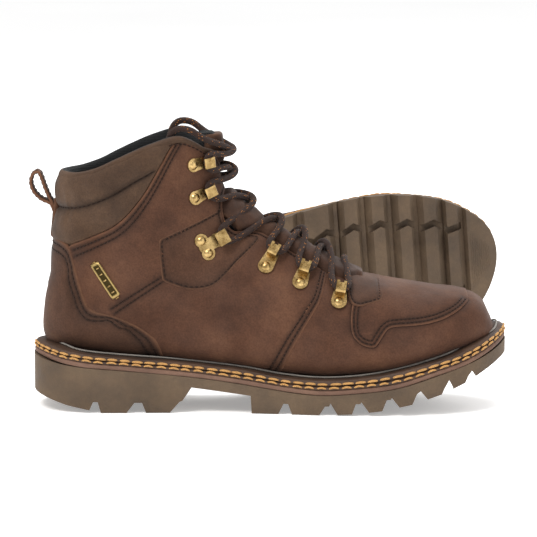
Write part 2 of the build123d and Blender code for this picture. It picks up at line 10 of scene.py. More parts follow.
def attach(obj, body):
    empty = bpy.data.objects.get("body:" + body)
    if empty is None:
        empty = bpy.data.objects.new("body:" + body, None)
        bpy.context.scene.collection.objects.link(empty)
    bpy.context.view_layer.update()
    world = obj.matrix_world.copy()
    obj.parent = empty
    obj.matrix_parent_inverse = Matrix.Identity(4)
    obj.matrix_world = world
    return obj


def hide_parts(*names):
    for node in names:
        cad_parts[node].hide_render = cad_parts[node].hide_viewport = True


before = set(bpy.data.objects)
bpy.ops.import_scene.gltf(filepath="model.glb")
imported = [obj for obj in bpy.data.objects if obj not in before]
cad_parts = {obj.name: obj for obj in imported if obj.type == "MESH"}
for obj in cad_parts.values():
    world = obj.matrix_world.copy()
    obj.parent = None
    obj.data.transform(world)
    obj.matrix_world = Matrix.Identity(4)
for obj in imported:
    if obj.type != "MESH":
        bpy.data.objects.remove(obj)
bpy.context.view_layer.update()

RNG = np.random.default_rng(7)
MM = 0.001

# ---- the boot's own frame, in mm
FAN_X, FAN_Z = 112.0, 152.0
LYING_PITCH, LYING_ROLL = 4.16, 0.82
LYING_SHIFT = (14.0, 273.0)

# plane, front reach, back reach, half width, centre y, widest share, back power, front power
SECTIONS = np.array([
    (36, 76, 172, 42.5, 0, 0.45, 2.1, 2.0), (18, 74, 174.5, 42, 0, 0.45, 2.1, 2.0),
    (0, 72.5, 175.5, 40.5, 0, 0.45, 2.1, 2.0), (-10, 70.2, 181, 39.2, 0, 0.44, 2.1, 2.0),
    (-20, 63.7, 192.3, 38, 0, 0.43, 2.1, 2.0), (-25, 60.5, 204.1, 37.5, -0.3, 0.42, 2.15, 2.0),
    (-30, 58.3, 213.5, 37, -0.6, 0.42, 2.25, 2.0), (-33, 57, 209.3, 36, -0.8, 0.42, 2.4, 2.0),
    (-37, 56, 193.9, 36, -1, 0.41, 2.7, 2.0), (-45, 53.6, 168.7, 37, -1.5, 0.4, 3.0, 2.0),
    (-60, 52, 143.8, 38.5, -2.5, 0.39, 3.2, 2.0), (-75, 53.7, 135, 42, -2, 0.38, 3.2, 2.0),
    (-90, 59.5, 132.6, 46, -2, 0.37, 3.2, 2.05), (-105, 67, 131.3, 47.8, -1.8, 0.37, 3.2, 2.2),
    (-122, 70.8, 129.2, 48.3, -2.6, 0.38, 3.2, 2.4), (-140, 73.8, 125.4, 47.5, -3, 0.4, 3.2, 2.5),
    (-158, 76.7, 119.7, 43.8, -3.2, 0.42, 3.1, 2.5), (-172, 77.4, 115, 38.3, -3.4, 0.43, 3.0, 2.5),
    (-181, 79.4, 112, 32.8, -3.2, 0.44, 2.9, 2.45), (-188, 84.8, 109, 26.3, -3, 0.46, 2.8, 2.4),
    (-192.5, 94.5, 107.5, 19, -2.6, 0.5, 2.6, 2.3), (-195.2, 102, 106, 9, -2.2, 0.5, 2.5, 2.2)])

SOLE_TOP = [(-84, 35.2), (-42.7, 28.4), (-16.5, 26.4), (14, 23.5), (57, 17.9), (80, 14.4), (104, 12.4),
            (128.5, 14.1), (153, 17.4), (177.5, 24.8), (202, 33), (228, 46)]
WELT_TOP = [(-84, 45.4), (-49.3, 39.8), (-23, 37.2), (3, 35.3), (30, 32.4), (57, 29.1), (76.5, 25.7),
            (100, 23.9), (117, 24.5), (128.5, 25.6), (153, 29.7), (177.5, 35.8), (194, 40.7),
            (210, 47.7), (228, 57)]
GROUND_LINE = [(-84, 12), (-58.4, 4.5), (-36, 0), (105, 0), (124, 0.9), (143, 3.1), (162.4, 7.2),
               (181, 13.3), (196.3, 19.9), (228, 37)]
OUTLINE = [(-80.8, 0), (-62, -37), (-20, -42), (30, -41), (70, -45), (115, -53), (150, -55), (185, -50),
           (206, -39), (219, -21), (224.2, 1), (219, 19), (205, 32.5), (185, 43), (153, 49.5), (130, 50),
           (90, 44), (45, 35), (0, 36), (-40, 38), (-64, 34)]

COUNTER_SEAM = [(-67.6, 110.6), (-60.9, 108.1), (-55.9, 103.3), (-52.3, 91), (-46.1, 71.4), (-41.2, 65.2),
                (-27.7, 61.5), (-15.5, 56.6), (-5.6, 50.5), (0.5, 44.4), (4.5, 32)]
COLLAR_SEAM = [(-55.9, 106.3), (-40, 113.1), (-27.7, 119.2), (-17.9, 127.8), (-8.1, 140.1), (-0.7, 152.3),
               (6.7, 165.9), (12.8, 176.2)]
QUILT_SEAM = [(-66.5, 128.6), (-64.5, 129.1), (-52.3, 130.3), (-40, 133.9), (-27.7, 139.4), (-15.5, 146.8),
              (-5.6, 152.3), (-1.4, 154.6)]
COLLAR_TOP = [(-64.2, 151.8), (-52.3, 152.3), (-40, 155.4), (-27.7, 160.9), (-15.5, 166.4), (-3.2, 171.4),
              (12.8, 176), (22.6, 173.2), (30, 168.3), (36, 165.6)]
THROAT_EDGE = [(36, 165.6), (38.6, 158), (41.5, 149), (42.8, 141), (41.4, 131), (43.4, 121), (49, 114.8),
               (57, 114.6), (66, 113), (74, 108.5), (81, 104), (90, 98.5), (99, 93.6), (110, 87.4),
               (120, 83.4), (127.6, 83.4)]
VAMP_SEAM = [(108.4, 88.2), (104.4, 73), (97.2, 60.4), (87.4, 43), (77.7, 22)]
MOC_SEAM = [(127.6, 83.4), (126.4, 78.9), (123.5, 64.8), (124, 52.6), (128.5, 46.1), (134.2, 43.6),
            (139.1, 44), (143.2, 50.2), (147.3, 55.4), (153, 56.7), (169.3, 57.9), (181.6, 60.7),
            (192.3, 65.7), (199, 70.6)]
PATCH = [(3, 111.9), (1.1, 109.4), (1.6, 98), (3, 86.1), (4.2, 84.2), (12, 80.9), (21.4, 78.7), (32.4, 79.9),
         (39.8, 84), (52, 96.4), (64.5, 108.6), (62, 111.8), (50, 113.4), (42, 120.4), (39.6, 128.6),
         (36, 126.6), (20, 119.4)]
DIAGONAL_SEAM = [(-27.7, 62.9), (-12, 73.6), (4.2, 84.2)]
TAB = [(143.2, 80.9), (143.9, 74.5), (142.6, 71.4), (139.2, 70.4), (134.6, 69.2), (129.4, 68.2)]
BADGE = [(-42.5, 94.1), (-37.3, 96.9), (-23.4, 76), (-28.6, 72.4)]


def unit(vectors):
    """Vectors brought to length one."""
    return vectors / (np.linalg.norm(vectors, axis=-1)[..., None] + 1e-9)


def lengths_along(pts):
    """How far along a polyline each of its points is."""
    return np.r_[0, np.cumsum(np.linalg.norm(np.diff(pts, axis=0), axis=1))]


def sample(at, lengths, pts):
    """A polyline's points at distances along it."""
    return np.stack([np.interp(at, lengths, column) for column in pts.T], 1)


def catmull(a, b, c, d, t):
    """A Catmull-Rom curve between b and c."""
    return b + 0.5 * t * (c - a + t * (2 * a - 5 * b + 4 * c - d + t * (3 * (b - c) + d - a)))


def grid_faces(rows, cols, wrap=False, base=0):
    """Quads over rows of points, with each row closed on itself if wrap is true."""
    starts = [(base + k * cols + m, base + k * cols + (m + 1) % cols)
              for k in range(rows - 1) for m in range(cols if wrap else cols - 1)]
    return [(a, b, b + cols, a + cols) for a, b in starts]


def end_caps(rows, cols, corners, base=0):
    """The faces that close both ends of a tube of rows."""
    return [tuple(base + m for m in reversed(range(corners))),
            tuple(base + (rows - 1) * cols + m for m in range(corners))]


def curve_height(line, xs):
    """The height of a side view line at x, by the same cubic everywhere."""
    px = np.array([p[0] for p in line])
    pz = np.array([p[1] for p in line])
    slopes = np.gradient(pz, px)
    xs = np.clip(np.asarray(xs, float), px[0], px[-1])
    i = np.clip(np.searchsorted(px, xs) - 1, 0, len(px) - 2)
    h = px[i + 1] - px[i]
    t = (xs - px[i]) / h
    return ((2 * t**3 - 3 * t**2 + 1) * pz[i] + (t**3 - 2 * t**2 + t) * h * slopes[i]
            + (3 * t**2 - 2 * t**3) * pz[i + 1] + (t**3 - t**2) * h * slopes[i + 1])


def smooth_line(points, step=1.5, closed=False):
    """A Catmull-Rom line through side view or plan points, resampled at even steps."""
    pts = np.array(points, float)
    if closed:
        ring = np.vstack([pts[-1:], pts, pts[:2]])
    else:
        ring = np.vstack([2 * pts[:1] - pts[1:2], pts, 2 * pts[-1:] - pts[-2:-1]])
    fine = []
    for a, b, c, d in zip(ring, ring[1:], ring[2:], ring[3:]):
        for t in np.linspace(0, 1, 12, endpoint=False):
            fine.append(catmull(a, b, c, d, t))
    fine.append(ring[-2])
    return resample(np.array(fine), step)


def resample(pts, step):
    """Points at even distances along a polyline."""
    lengths = lengths_along(pts)
    count = max(2, int(round(lengths[-1] / step)) + 1)
    return sample(np.linspace(0, lengths[-1], count), lengths, pts)


# ---- the upper's body surface
def sections_at(planes):
    """The seven section values on each plane, by Catmull-Rom between the stated sections."""
    stated, last = SECTIONS[:, 0], len(SECTIONS) - 1
    planes = np.clip(np.asarray(planes, float), stated[-1], stated[0])
    i = np.clip(np.searchsorted(-stated, -planes), 1, last)
    rows = [SECTIONS[np.clip(k, 0, last), 1:] for k in (i - 2, i - 1, i, i + 1)]
    t = ((stated[i - 1] - planes) / (stated[i - 1] - stated[i]))[..., None]
    return catmull(*rows, t)


def side_points(planes, reach):
    """Side view x and z at a distance from the fan's line."""
    turn = np.radians(np.clip(90 + planes, 0, 90))
    x = FAN_X - reach * np.sin(turn) + np.clip(-90 - planes, 0, None)
    z = FAN_Z - reach * np.cos(turn) + np.clip(planes, 0, None)
    return x, z


def fan_plane(x, z):
    """The plane and reach of side view points."""
    x, z = np.asarray(x, float), np.asarray(z, float)
    turned = np.degrees(np.arctan2(FAN_X - x, FAN_Z - z)) - 90
    plane = np.where(z >= FAN_Z, z - FAN_Z, np.where(x >= FAN_X, FAN_X - x - 90, turned))
    reach = np.where(z >= FAN_Z, FAN_X - x, np.where(x >= FAN_X, FAN_Z - z, np.hypot(FAN_X - x, FAN_Z - z)))
    return plane, reach


def half_shape(share, widest, back_power, front_power):
    """The half width at a share along a section, with the widest place as 1."""
    rear = share < widest
    span = np.where(rear, widest, 1 - widest)
    power = np.where(rear, back_power, front_power)
    ratio = np.clip(np.abs(widest - share) / span, 0, 1)
    return np.clip(1 - ratio ** power, 0, None) ** (1 / power)


def body_at(x, z):
    """Plane, centre y, share along the section and half width at side view points."""
    plane, reach = fan_plane(x, z)
    front, back, width, centre, widest, back_power, front_power = np.moveaxis(sections_at(plane), -1, 0)
    share = (back - reach) / (back - front)
    return plane, centre, share, width * half_shape(np.clip(share, 0, 1), widest, back_power, front_power)


ROWS, COLS = 420, 241


def build_tables():
    """The body's surface on an even grid, with its normals and its arc lengths."""
    steps = SECTIONS[::-1, 0]
    planes = np.interp(np.linspace(0, 1, ROWS), np.linspace(0, 1, len(steps)), steps)[::-1]
    s = sections_at(planes)
    c = np.cos(np.linspace(0, math.pi, 4 * COLS))[None, :]
    power = np.where(c < 0, s[:, 5:6], s[:, 6:7])
    span = np.where(c < 0, s[:, 4:5], 1 - s[:, 4:5])
    share = s[:, 4:5] + np.sign(c) * np.abs(c) ** (2 / power) * span

    def spots(share):
        """Side view x, half width and side view z at shares along every row."""
        x, z = side_points(planes[:, None] + 0 * share, s[:, 1:2] - share * (s[:, 1:2] - s[:, 0:1]))
        return x, half_shape(share, s[:, 4:5], s[:, 5:6], s[:, 6:7]) * s[:, 2:3], z

    arcs = np.cumsum(np.linalg.norm(np.diff(np.stack(spots(share), -1), axis=1), axis=2), axis=1)
    arcs = np.hstack([np.zeros((ROWS, 1)), arcs])
    shares = np.stack([np.interp(np.linspace(0, arc[-1], COLS), arc, row) for arc, row in zip(arcs, share)])
    x, half, z = spots(shares)
    low, high = (np.stack([x, s[:, 3:4] + side * half, z], -1) for side in (-1, 1))
    ring = np.concatenate([low[:, ::-1], high[:, 1:-1]], axis=1)
    normals = unit(np.cross(np.gradient(ring, axis=0), np.roll(ring, -1, axis=1) - np.roll(ring, 1, axis=1)))
    normals *= np.sign(np.sum(normals * (ring - ring.mean(axis=1)[:, None]), axis=2).mean())
    run = np.linalg.norm(np.diff(ring[:, [COLS - 1, COLS // 2]], axis=0), axis=2)
    along = np.r_[0, np.cumsum(0.5 * run[:, 0] + 0.5 * run[:, 1])]
    pos, nrm = (np.stack([table[:, COLS - 1::-1], np.hstack([table[:, COLS - 1:], table[:, :1]])])
                for table in (ring, normals))
    return planes, shares, arcs[:, -1], along, pos, nrm


PLANES, SHARES, WHOLE, ALONG, GRID, NORMALS = build_tables()


def row_of(planes):
    """The table row, as a real number, of each plane."""
    return np.interp(-np.asarray(planes, float), -PLANES, np.arange(ROWS))


def to_domain(points, side, back=False):
    """Domain (along, signed arc) of side view points on one side, from the front or back ridge."""
    pts = np.array(points, float)
    planes, _, share, _ = body_at(pts[:, 0], pts[:, 1])
    share = np.clip(share, 0, 1)
    f = row_of(planes)
    out = np.empty((len(pts), 2))
    for k in range(len(pts)):
        row = int(round(f[k]))
        q = np.interp(-share[k], -SHARES[row], np.linspace(0, 1, COLS))
        out[k] = np.interp(f[k], np.arange(ROWS), ALONG), side * ((1 - q) if back else q) * np.interp(
            f[k], np.arange(ROWS), WHOLE)
    return out


def surface(uv, lift=0.0, back=False):
    """3D points and outward normals over the body, with a lift along the normal."""
    uv = np.asarray(uv, float)
    f = np.interp(uv[:, 0], ALONG, np.arange(ROWS))
    i = np.clip(f.astype(int), 0, ROWS - 2)
    t = (f - i)[:, None]
    q = np.abs(uv[:, 1]) / np.interp(uv[:, 0], ALONG, WHOLE)
    g = np.clip((1 - q) if back else q, 0, 1) * (COLS - 1)
    j = np.clip(g.astype(int), 0, COLS - 2)
    r = (g - j)[:, None]
    side = (uv[:, 1] >= 0).astype(int)
    got = []
    for table in (GRID, NORMALS):
        low = table[side, i, j] * (1 - r) + table[side, i, j + 1] * r
        high = table[side, i + 1, j] * (1 - r) + table[side, i + 1, j + 1] * r
        got.append(low * (1 - t) + high * t)
    pos, n = got[0], unit(got[1])
    return pos + n * np.broadcast_to(np.asarray(lift, float), (len(uv),))[:, None], n


# ---- making pieces
def lay_down(points):
    """Upright right boot points, in mm, turned into the lying left boot's, before its drop."""
    x, y, z = points[:, 0], -points[:, 1], points[:, 2]
    a = math.radians(-90 - LYING_ROLL)
    y, z = y * math.cos(a) - z * math.sin(a), y * math.sin(a) + z * math.cos(a)
    b = math.radians(-LYING_PITCH)
    x, z = x * math.cos(b) + z * math.sin(b), -x * math.sin(b) + z * math.cos(b)
    return np.stack([x + LYING_SHIFT[0], y + LYING_SHIFT[1], z], 1)


def node_points(name):
    """A CAD node's vertices, in mm."""
    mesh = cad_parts[name].data
    out = np.empty(len(mesh.vertices) * 3)
    mesh.vertices.foreach_get("co", out)
    return out.reshape(-1, 3) / MM


DROP = lay_down(node_points("right_outsole"))[:, 2].min() - node_points("left_outsole")[:, 2].min()


def add_piece(name, verts, faces, material, body, nodes=(), attributes=None, uvs=None):
    """Make one mesh for the right boot and its twin for the left, ride them and replace CAD nodes."""
    made = []
    for side in ("right", "left"):
        pts = np.asarray(verts, float)
        polys = [tuple(f) for f in faces]
        if side == "left":
            pts = lay_down(pts) - [0, 0, DROP]
            polys = [f[::-1] for f in polys]
        mesh = bpy.data.meshes.new(f"{side}_{name}")
        mesh.from_pydata((pts * MM).tolist(), [], polys)
        for key, values in (attributes or {}).items():
            layer = mesh.attributes.new(key, "FLOAT", "POINT")
            layer.data.foreach_set("value", np.asarray(values, np.float32))
        if uvs is not None:
            layer = mesh.uv_layers.new(name="UVMap")
            loops = np.empty(len(mesh.loops), int)
            mesh.loops.foreach_get("vertex_index", loops)
            layer.data.foreach_set("uv", np.asarray(uvs, np.float32)[loops].ravel())
        mesh.validate()
        mesh.polygons.foreach_set("use_smooth", [True] * len(mesh.polygons))
        mesh.materials.append(material)
        obj = bpy.data.objects.new(f"{side}_{name}", mesh)
        bpy.context.scene.collection.objects.link(obj)
        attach(obj, f"{side}_{body}")
        if nodes:
            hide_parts(*[f"{side}_{n}" for n in nodes])
        made.append(obj)
    return made


# ---- noise and distances
WAVES = RNG.normal(size=(3, 24, 3))
PHASES = RNG.uniform(0, 2 * math.pi, (3, 24))


def noise(points, size, kind=0):
    """Soft random waves about one size long, from -1 to 1."""
    waves = WAVES[kind] / np.linalg.norm(WAVES[kind], axis=1)[:, None] * (2 * math.pi / size)
    waves = waves * np.linspace(0.6, 1.5, len(waves))[:, None]
    return np.sin(points @ waves.T + PHASES[kind]).sum(axis=1) / 6.0


def wrinkles(points):
    """Long and short soft wrinkles together."""
    return noise(points, 26, 0) * 0.7 + noise(points, 9, 1) * 0.3


def distance_to(points, line):
    """The distance of 2D points from a polyline."""
    best = np.full(len(points), 1e9)
    a, b = line[:-1], line[1:]
    for lo in range(0, len(points), 4000):
        p = points[lo:lo + 4000, None]
        ab = (b - a)[None]
        t = np.clip(np.sum((p - a[None]) * ab, -1) / (np.sum(ab * ab, -1) + 1e-9), 0, 1)
        best[lo:lo + 4000] = np.sqrt(np.min(np.sum((p - a[None] - ab * t[..., None]) ** 2, -1), axis=1))
    return best


def groove(points, line, width):
    """How near points are to a line, from 1 on it down to 0 well outside its width."""
    return np.exp(-(distance_to(points, line) / width) ** 2)


def inside(points, ring):
    """Whether each 2D point is inside a closed ring."""
    x, y = points[:, 0:1], points[:, 1:2]
    x0, y0, x1, y1 = ring[:-1, 0], ring[:-1, 1], ring[1:, 0], ring[1:, 1]
    cross = ((y0 > y) != (y1 > y)) & (x < (x1 - x0) * (y - y0) / (y1 - y0 + 1e-12) + x0)
    return cross.sum(axis=1) % 2 == 1


def offset_line(line, gap):
    """A polyline moved sideways."""
    run = unit(np.gradient(line, axis=0))
    return line + np.stack([-run[:, 1], run[:, 0]], 1) * gap


def mesh_region(ring, guides=(), step=2.2, rows=(0.18, 0.6, 1.3)):
    """Triangles over a closed ring in the domain, with rows beside its edge and along guide lines."""
    ring = resample(np.vstack([ring, ring[:1]]), 1.5)
    area = np.sum(ring[:-1, 0] * ring[1:, 1] - ring[1:, 0] * ring[:-1, 1])
    way = 1 if area > 0 else -1
    points = [ring[:-1]]
    for gap in rows:
        row = offset_line(ring, way * gap)[:-1]
        keep = inside(row, ring) & (distance_to(row, ring) > gap * 0.92)
        points.append(row[keep])
    for guide in guides:
        for gap in (-1.1, 0, 1.1):
            row = offset_line(guide, gap)
            keep = inside(row, ring) & (distance_to(row, ring) > rows[-1] + 0.5)
            points.append(row[keep])
    lo, hi = ring.min(axis=0), ring.max(axis=0)
    gx, gy = np.meshgrid(np.arange(lo[0], hi[0], step), np.arange(lo[1], hi[1], step))
    gx[::2] += step / 2
    grid = np.stack([gx.ravel(), gy.ravel()], 1)
    grid = grid[inside(grid, ring)]
    keep = distance_to(grid, ring) > rows[-1] + step * 0.45
    for guide in guides:
        keep &= distance_to(grid, guide) > 1.1 + step * 0.4
    points.append(grid[keep])
    points = np.vstack(points)
    count = len(ring) - 1
    edges = [(k, (k + 1) % count) for k in range(count)]
    verts, _, faces, _, _, _ = delaunay_2d_cdt([Vector(p) for p in points], edges, [], 1, 1e-4)
    return np.array([tuple(v) for v in verts]), np.array([tuple(f) for f in faces if len(f) == 3]), ring


def closed_shell(top, bottom, faces, flip):
    """A solid skin from a top and a bottom sheet that share their triangles."""
    n = len(top)
    if flip:
        faces = faces[:, ::-1]
    sides = dict.fromkeys(edge for a, b, c in faces.tolist() for edge in ((a, b), (b, c), (c, a)))
    walls = [(b, a, a + n, b + n) for a, b in sides if (b, a) not in sides]
    polys = [tuple(f) for f in faces.tolist()] + [tuple(f) for f in (faces[:, ::-1] + n).tolist()] + walls
    return np.vstack([top, bottom]), polys


def facing(pts, faces, normals):
    """True where the triangles face away from the outward normals."""
    a, b, c = pts[faces[:, 0]], pts[faces[:, 1]], pts[faces[:, 2]]
    face_normals = np.cross(b - a, c - a)
    return np.sum(face_normals * normals[faces[:, 0]]) < 0


STITCHES = {}


def stitch_row(line, lift, back, group, pitch=2.8, length=2.2, thick=0.5, depth=0.05):
    """Short rounded stitches along a domain line, kept for one mesh per group."""
    line = resample(line, 0.6)
    lengths = lengths_along(line)
    starts = np.arange(pitch * 0.3, lengths[-1] - length, pitch)
    if not len(starts):
        return
    shares = np.linspace(0, 1, 6)
    radii = np.array([0.55, 0.92, 1, 1, 0.92, 0.55]) * thick
    rise = np.array([-0.35, 0.1, 0.3, 0.3, 0.1, -0.35]) * thick
    for begin in starts:
        at = begin + shares * length
        uv = sample(at, lengths, line)
        high = lift(uv) if callable(lift) else lift
        pos, n = surface(uv, high - depth + rise, back)
        add_tube(group, pos, n, radii)


def add_tube(group, pos, n, radii, sides=6):
    """One capsule along points, added to a group's mesh."""
    verts, faces = STITCHES.setdefault(group, ([], []))
    run = unit(np.gradient(pos, axis=0))
    across = unit(np.cross(run, n))
    up = np.cross(across, run)
    base = sum(len(v) for v in verts)
    turn = np.arange(sides) * 2 * math.pi / sides
    ring = (pos[:, None] + radii[:, None, None] * (across[:, None] * np.cos(turn)[None, :, None]
            + up[:, None] * np.sin(turn)[None, :, None]))
    verts.append(ring.reshape(-1, 3))
    faces += grid_faces(len(pos), sides, True, base) + end_caps(len(pos), sides, sides, base)


def add_group(group, name, material, body="boot"):
    """Make one piece of a group's tubes."""
    verts, faces = STITCHES.pop(group)
    add_piece(name, np.vstack(verts), faces, material, body, ())


def panel(name, ring, material, *, back=False, base=0.0, thick=1.2, under=1.2, guides=(), extra=None,
          nodes=(), body="boot", seam=0.5, step=2.2, edge=0.9, wrinkle=0.25):
    """A leather panel over the body: rounded cut edge, sunk stitch lines and soft wrinkles."""
    guides = [resample(g, 1.3) for g in guides]
    uv, faces, ring = mesh_region(ring, guides, step)
    d = distance_to(uv, ring)
    rise = np.sqrt(np.clip(1 - (1 - np.clip(d / edge, 0, 1)) ** 2, 0, 1))
    lift = base + thick * (0.12 + 0.88 * rise)
    for guide in guides:
        lift -= seam * groove(uv, guide, 0.9)
    flat, n = surface(uv, 0.0, back)
    lift += wrinkle * np.clip(d / 6, 0, 1) * wrinkles(flat)
    if extra:
        lift += extra(uv, flat, d)
    top, n = surface(uv, lift, back)
    bottom, _ = surface(uv, np.minimum(lift - 0.5, base - under), back)
    verts, polys = closed_shell(top, bottom, faces, facing(top, faces, n))
    # pale near the cut edge: partly worn edges, partly a painted highlight on the rolled edge
    wear = np.r_[np.exp(-(d / 1.1) ** 2), np.zeros(len(d))]
    # the stitch grooves, which the leather material darkens as painted shade
    sunk = np.zeros(len(d))
    for guide in guides:
        sunk = np.maximum(sunk, groove(uv, guide, 1.15))
    uvs = np.vstack([uv, uv]) * 0.01
    objs = add_piece(name, verts, polys, material, body, nodes,
                     attributes={"wear": wear, "seam": np.r_[sunk, np.zeros(len(d))]}, uvs=uvs)

    def height(at):
        """The panel's own height at domain points, for stitches on it."""
        spots, _ = surface(at, 0.0, back)
        gap = distance_to(at, ring)
        value = base + thick + wrinkle * np.clip(gap / 6, 0, 1) * wrinkles(spots)
        for guide in guides:
            value = value - seam * groove(at, guide, 0.9)
        return value + (extra(at, spots, gap) if extra else 0)

    return objs, height


# ---- materials
def srgb(r, g, b):
    """A linear colour from sRGB 0 to 255."""
    return tuple((v / 255 / 12.92) if v / 255 <= 0.04045 else ((v / 255 + 0.055) / 1.055) ** 2.4
                 for v in (r, g, b)) + (1.0,)


class Maker:
    """Short calls that build one material's nodes."""

    def __init__(self, name, **uniform):
        self.mat = bpy.data.materials.new(name)
        self.mat.use_nodes = True
        self.tree = self.mat.node_tree
        self.shader = self.tree.nodes["Principled BSDF"]
        for key, value in uniform.items():
            self.shader.inputs[key.replace("_", " ")].default_value = value
        self.object = self.new("ShaderNodeTexCoord").outputs["Object"]

    def new(self, kind, **values):
        node = self.tree.nodes.new(kind)
        for key, value in values.items():
            setattr(node, key, value)
        return node

    def link(self, source, target):
        self.tree.links.new(source, target)

    def pattern(self, kind, output, inputs, vector, **values):
        node = self.new(kind, **values)
        for key, value in inputs.items():
            node.inputs[key].default_value = value
        self.link(vector or self.object, node.inputs["Vector"])
        return node.outputs[output]

    def noise(self, scale, detail=4.0, rough=0.55, vector=None):
        inputs = {"Scale": scale, "Detail": detail, "Roughness": rough}
        return self.pattern("ShaderNodeTexNoise", "Fac", inputs, vector)

    def voronoi(self, scale, vector=None):
        return self.pattern("ShaderNodeTexVoronoi", "Distance", {"Scale": scale}, vector)

    def stretch(self, x, y, z, source=None):
        return self.pattern("ShaderNodeMapping", "Vector", {"Scale": (x, y, z)}, source)

    def wave(self, scale, direction, distortion=0.0, vector=None):
        inputs = {"Scale": scale, "Distortion": distortion}
        return self.pattern("ShaderNodeTexWave", "Fac", inputs, vector, bands_direction=direction)

    def uv(self):
        return self.new("ShaderNodeTexCoord").outputs["UV"]

    def attribute(self, name):
        return self.new("ShaderNodeAttribute", attribute_name=name).outputs["Fac"]

    def ramp(self, source, *stops):
        node = self.new("ShaderNodeValToRGB")
        ramp = node.color_ramp
        while len(ramp.elements) < len(stops):
            ramp.elements.new(0.5)
        for element, (place, colour) in zip(ramp.elements, stops):
            element.position = place
            element.color = colour if isinstance(colour, tuple) else (colour, colour, colour, 1)
        self.link(source, node.inputs["Fac"])
        return node.outputs["Color"]

    def feed(self, node, values):
        """Set or link numbered inputs, each from a number, a colour or another node's output."""
        for place, value in values.items():
            if isinstance(value, (int, float, tuple)):
                node.inputs[place].default_value = value
            else:
                self.link(value, node.inputs[place])
        return node.outputs

    def mix(self, factor, a, b, kind="MIX"):
        node = self.new("ShaderNodeMix", data_type="RGBA", blend_type=kind)
        return self.feed(node, {0: factor, 6: a, 7: b})[2]

    def math(self, kind, a, b=0.0):
        return self.feed(self.new("ShaderNodeMath", operation=kind), {0: a, 1: b})[0]

    def cloudy(self, scale, detail, low, high, rough=0.55):
        return self.ramp(self.noise(scale, detail, rough), (0.3, low), (0.7, high))

    def dapple(self, colour, share, scale, detail, low):
        return self.mix(share, colour, self.cloudy(scale, detail, low, 1.0), "MULTIPLY")

    def finish(self, colour, rough, bumps):
        self.feed(self.shader, {"Base Color": colour, "Roughness": rough})
        normal = None
        for height, distance, strength in bumps:
            bump = self.new("ShaderNodeBump")
            self.feed(bump, {"Distance": distance, "Strength": strength, "Height": height})
            if normal:
                self.link(normal, bump.inputs["Normal"])
            normal = bump.outputs["Normal"]
        if normal:
            self.link(normal, self.shader.inputs["Normal"])
        return self.mat


def nubuck(name, dark, mid, light, grain=1.0, rough=0.82):
    """Oiled nubuck: cloudy colour, pull-up patches, pale edges that are partly wear and partly a painted
    highlight, painted shade in the stitch grooves, short nap and pores.
    """
    m = Maker(name, Sheen_Weight=0.04, Sheen_Roughness=0.5, Specular_IOR_Level=0.22)
    cloud = m.noise(22, 6, 0.62)
    fine = m.noise(900, 3, 0.6)
    nap = m.noise(2600, 2, 0.6)
    colour = m.ramp(cloud, (0.3, dark), (0.5, mid), (0.72, light))
    speck = m.ramp(fine, (0.35, 0.55), (0.62, 1.0))
    colour = m.mix(0.55, colour, speck, "MULTIPLY")
    scuff = m.ramp(m.noise(70, 8, 0.75, m.stretch(1, 1, 2.4)), (0.58, 0.0), (0.74, 1.0))
    colour = m.mix(m.math("MULTIPLY", scuff, 0.35), colour, light)
    # the cut edges lightened past the lightest tone: partly wear, partly a painted highlight on the rolled
    # edge
    wear = m.math("MULTIPLY", m.attribute("wear"), m.cloudy(160, 4, 0.25, 1.0))
    # the seam mask darkens the sunk stitch grooves: painted shade
    for share, strength, shade, times in ((wear, 0.85, light, 1.25), (m.attribute("seam"), 0.8, dark, 0.4)):
        shade = tuple(c * times for c in shade[:3]) + (1,)
        colour = m.mix(m.math("MULTIPLY", share, strength), colour, shade)
    roughness = m.cloudy(34, 5, rough - 0.12, min(1.0, rough + 0.1))
    pores = m.voronoi(1100)
    return m.finish(colour, roughness, [
        (m.noise(150, 6, 0.6), 0.0006, 0.35 * grain), (pores, 0.0002, 0.3 * grain), (nap, 0.00012, 0.45)])


def rubber(name, dark, mid, light, pebble=620.0, rough=0.72):
    """Moulded rubber: dull, faintly cloudy, pebbled, with dusty patches at random."""
    m = Maker(name, Specular_IOR_Level=0.35)
    cloud = m.noise(30, 6, 0.6)
    colour = m.ramp(cloud, (0.3, dark), (0.5, mid), (0.72, light))
    dust = m.ramp(m.noise(420, 6, 0.7), (0.45, 0.82), (0.7, 1.0))
    colour = m.mix(0.6, colour, dust, "MULTIPLY")
    grain = m.noise(240, 3, 0.5, m.stretch(0.35, 0.35, 2.2))
    roughness = m.cloudy(60, 5, rough - 0.12, rough + 0.14)
    return m.finish(colour, roughness, [(m.voronoi(pebble), 0.0004, 0.32), (grain, 0.0004, 0.25),
                                        (m.noise(2200, 2), 0.0001, 0.4)])


def metal(name, colour, bright, rough=0.3, scale=800):
    """Plated metal with fine brushing, handling marks and dull spots."""
    m = Maker(name, Metallic=1.0)
    tint = m.cloudy(180, 5, colour, bright, 0.6)
    dull = m.ramp(m.noise(scale, 6, 0.7), (0.35, rough), (0.7, rough + 0.22))
    return m.finish(tint, dull, [(m.noise(500, 5, 0.6), 0.0002, 0.25), (m.noise(2500, 2), 0.00006, 0.35)])


def badge_metal(name, field, rim):
    """A cast plate: a dark antiqued field inside a rubbed bright rim."""
    m = Maker(name, Metallic=1.0)
    tint = m.mix(m.ramp(m.attribute("wear"), (0.25, 0.0), (0.6, 1.0)), field, rim)
    tint = m.dapple(tint, 0.5, 900, 5, 0.6)
    return m.finish(tint, m.cloudy(700, 5, 0.34, 0.5), [(m.noise(1200, 4), 0.0002, 0.3)])


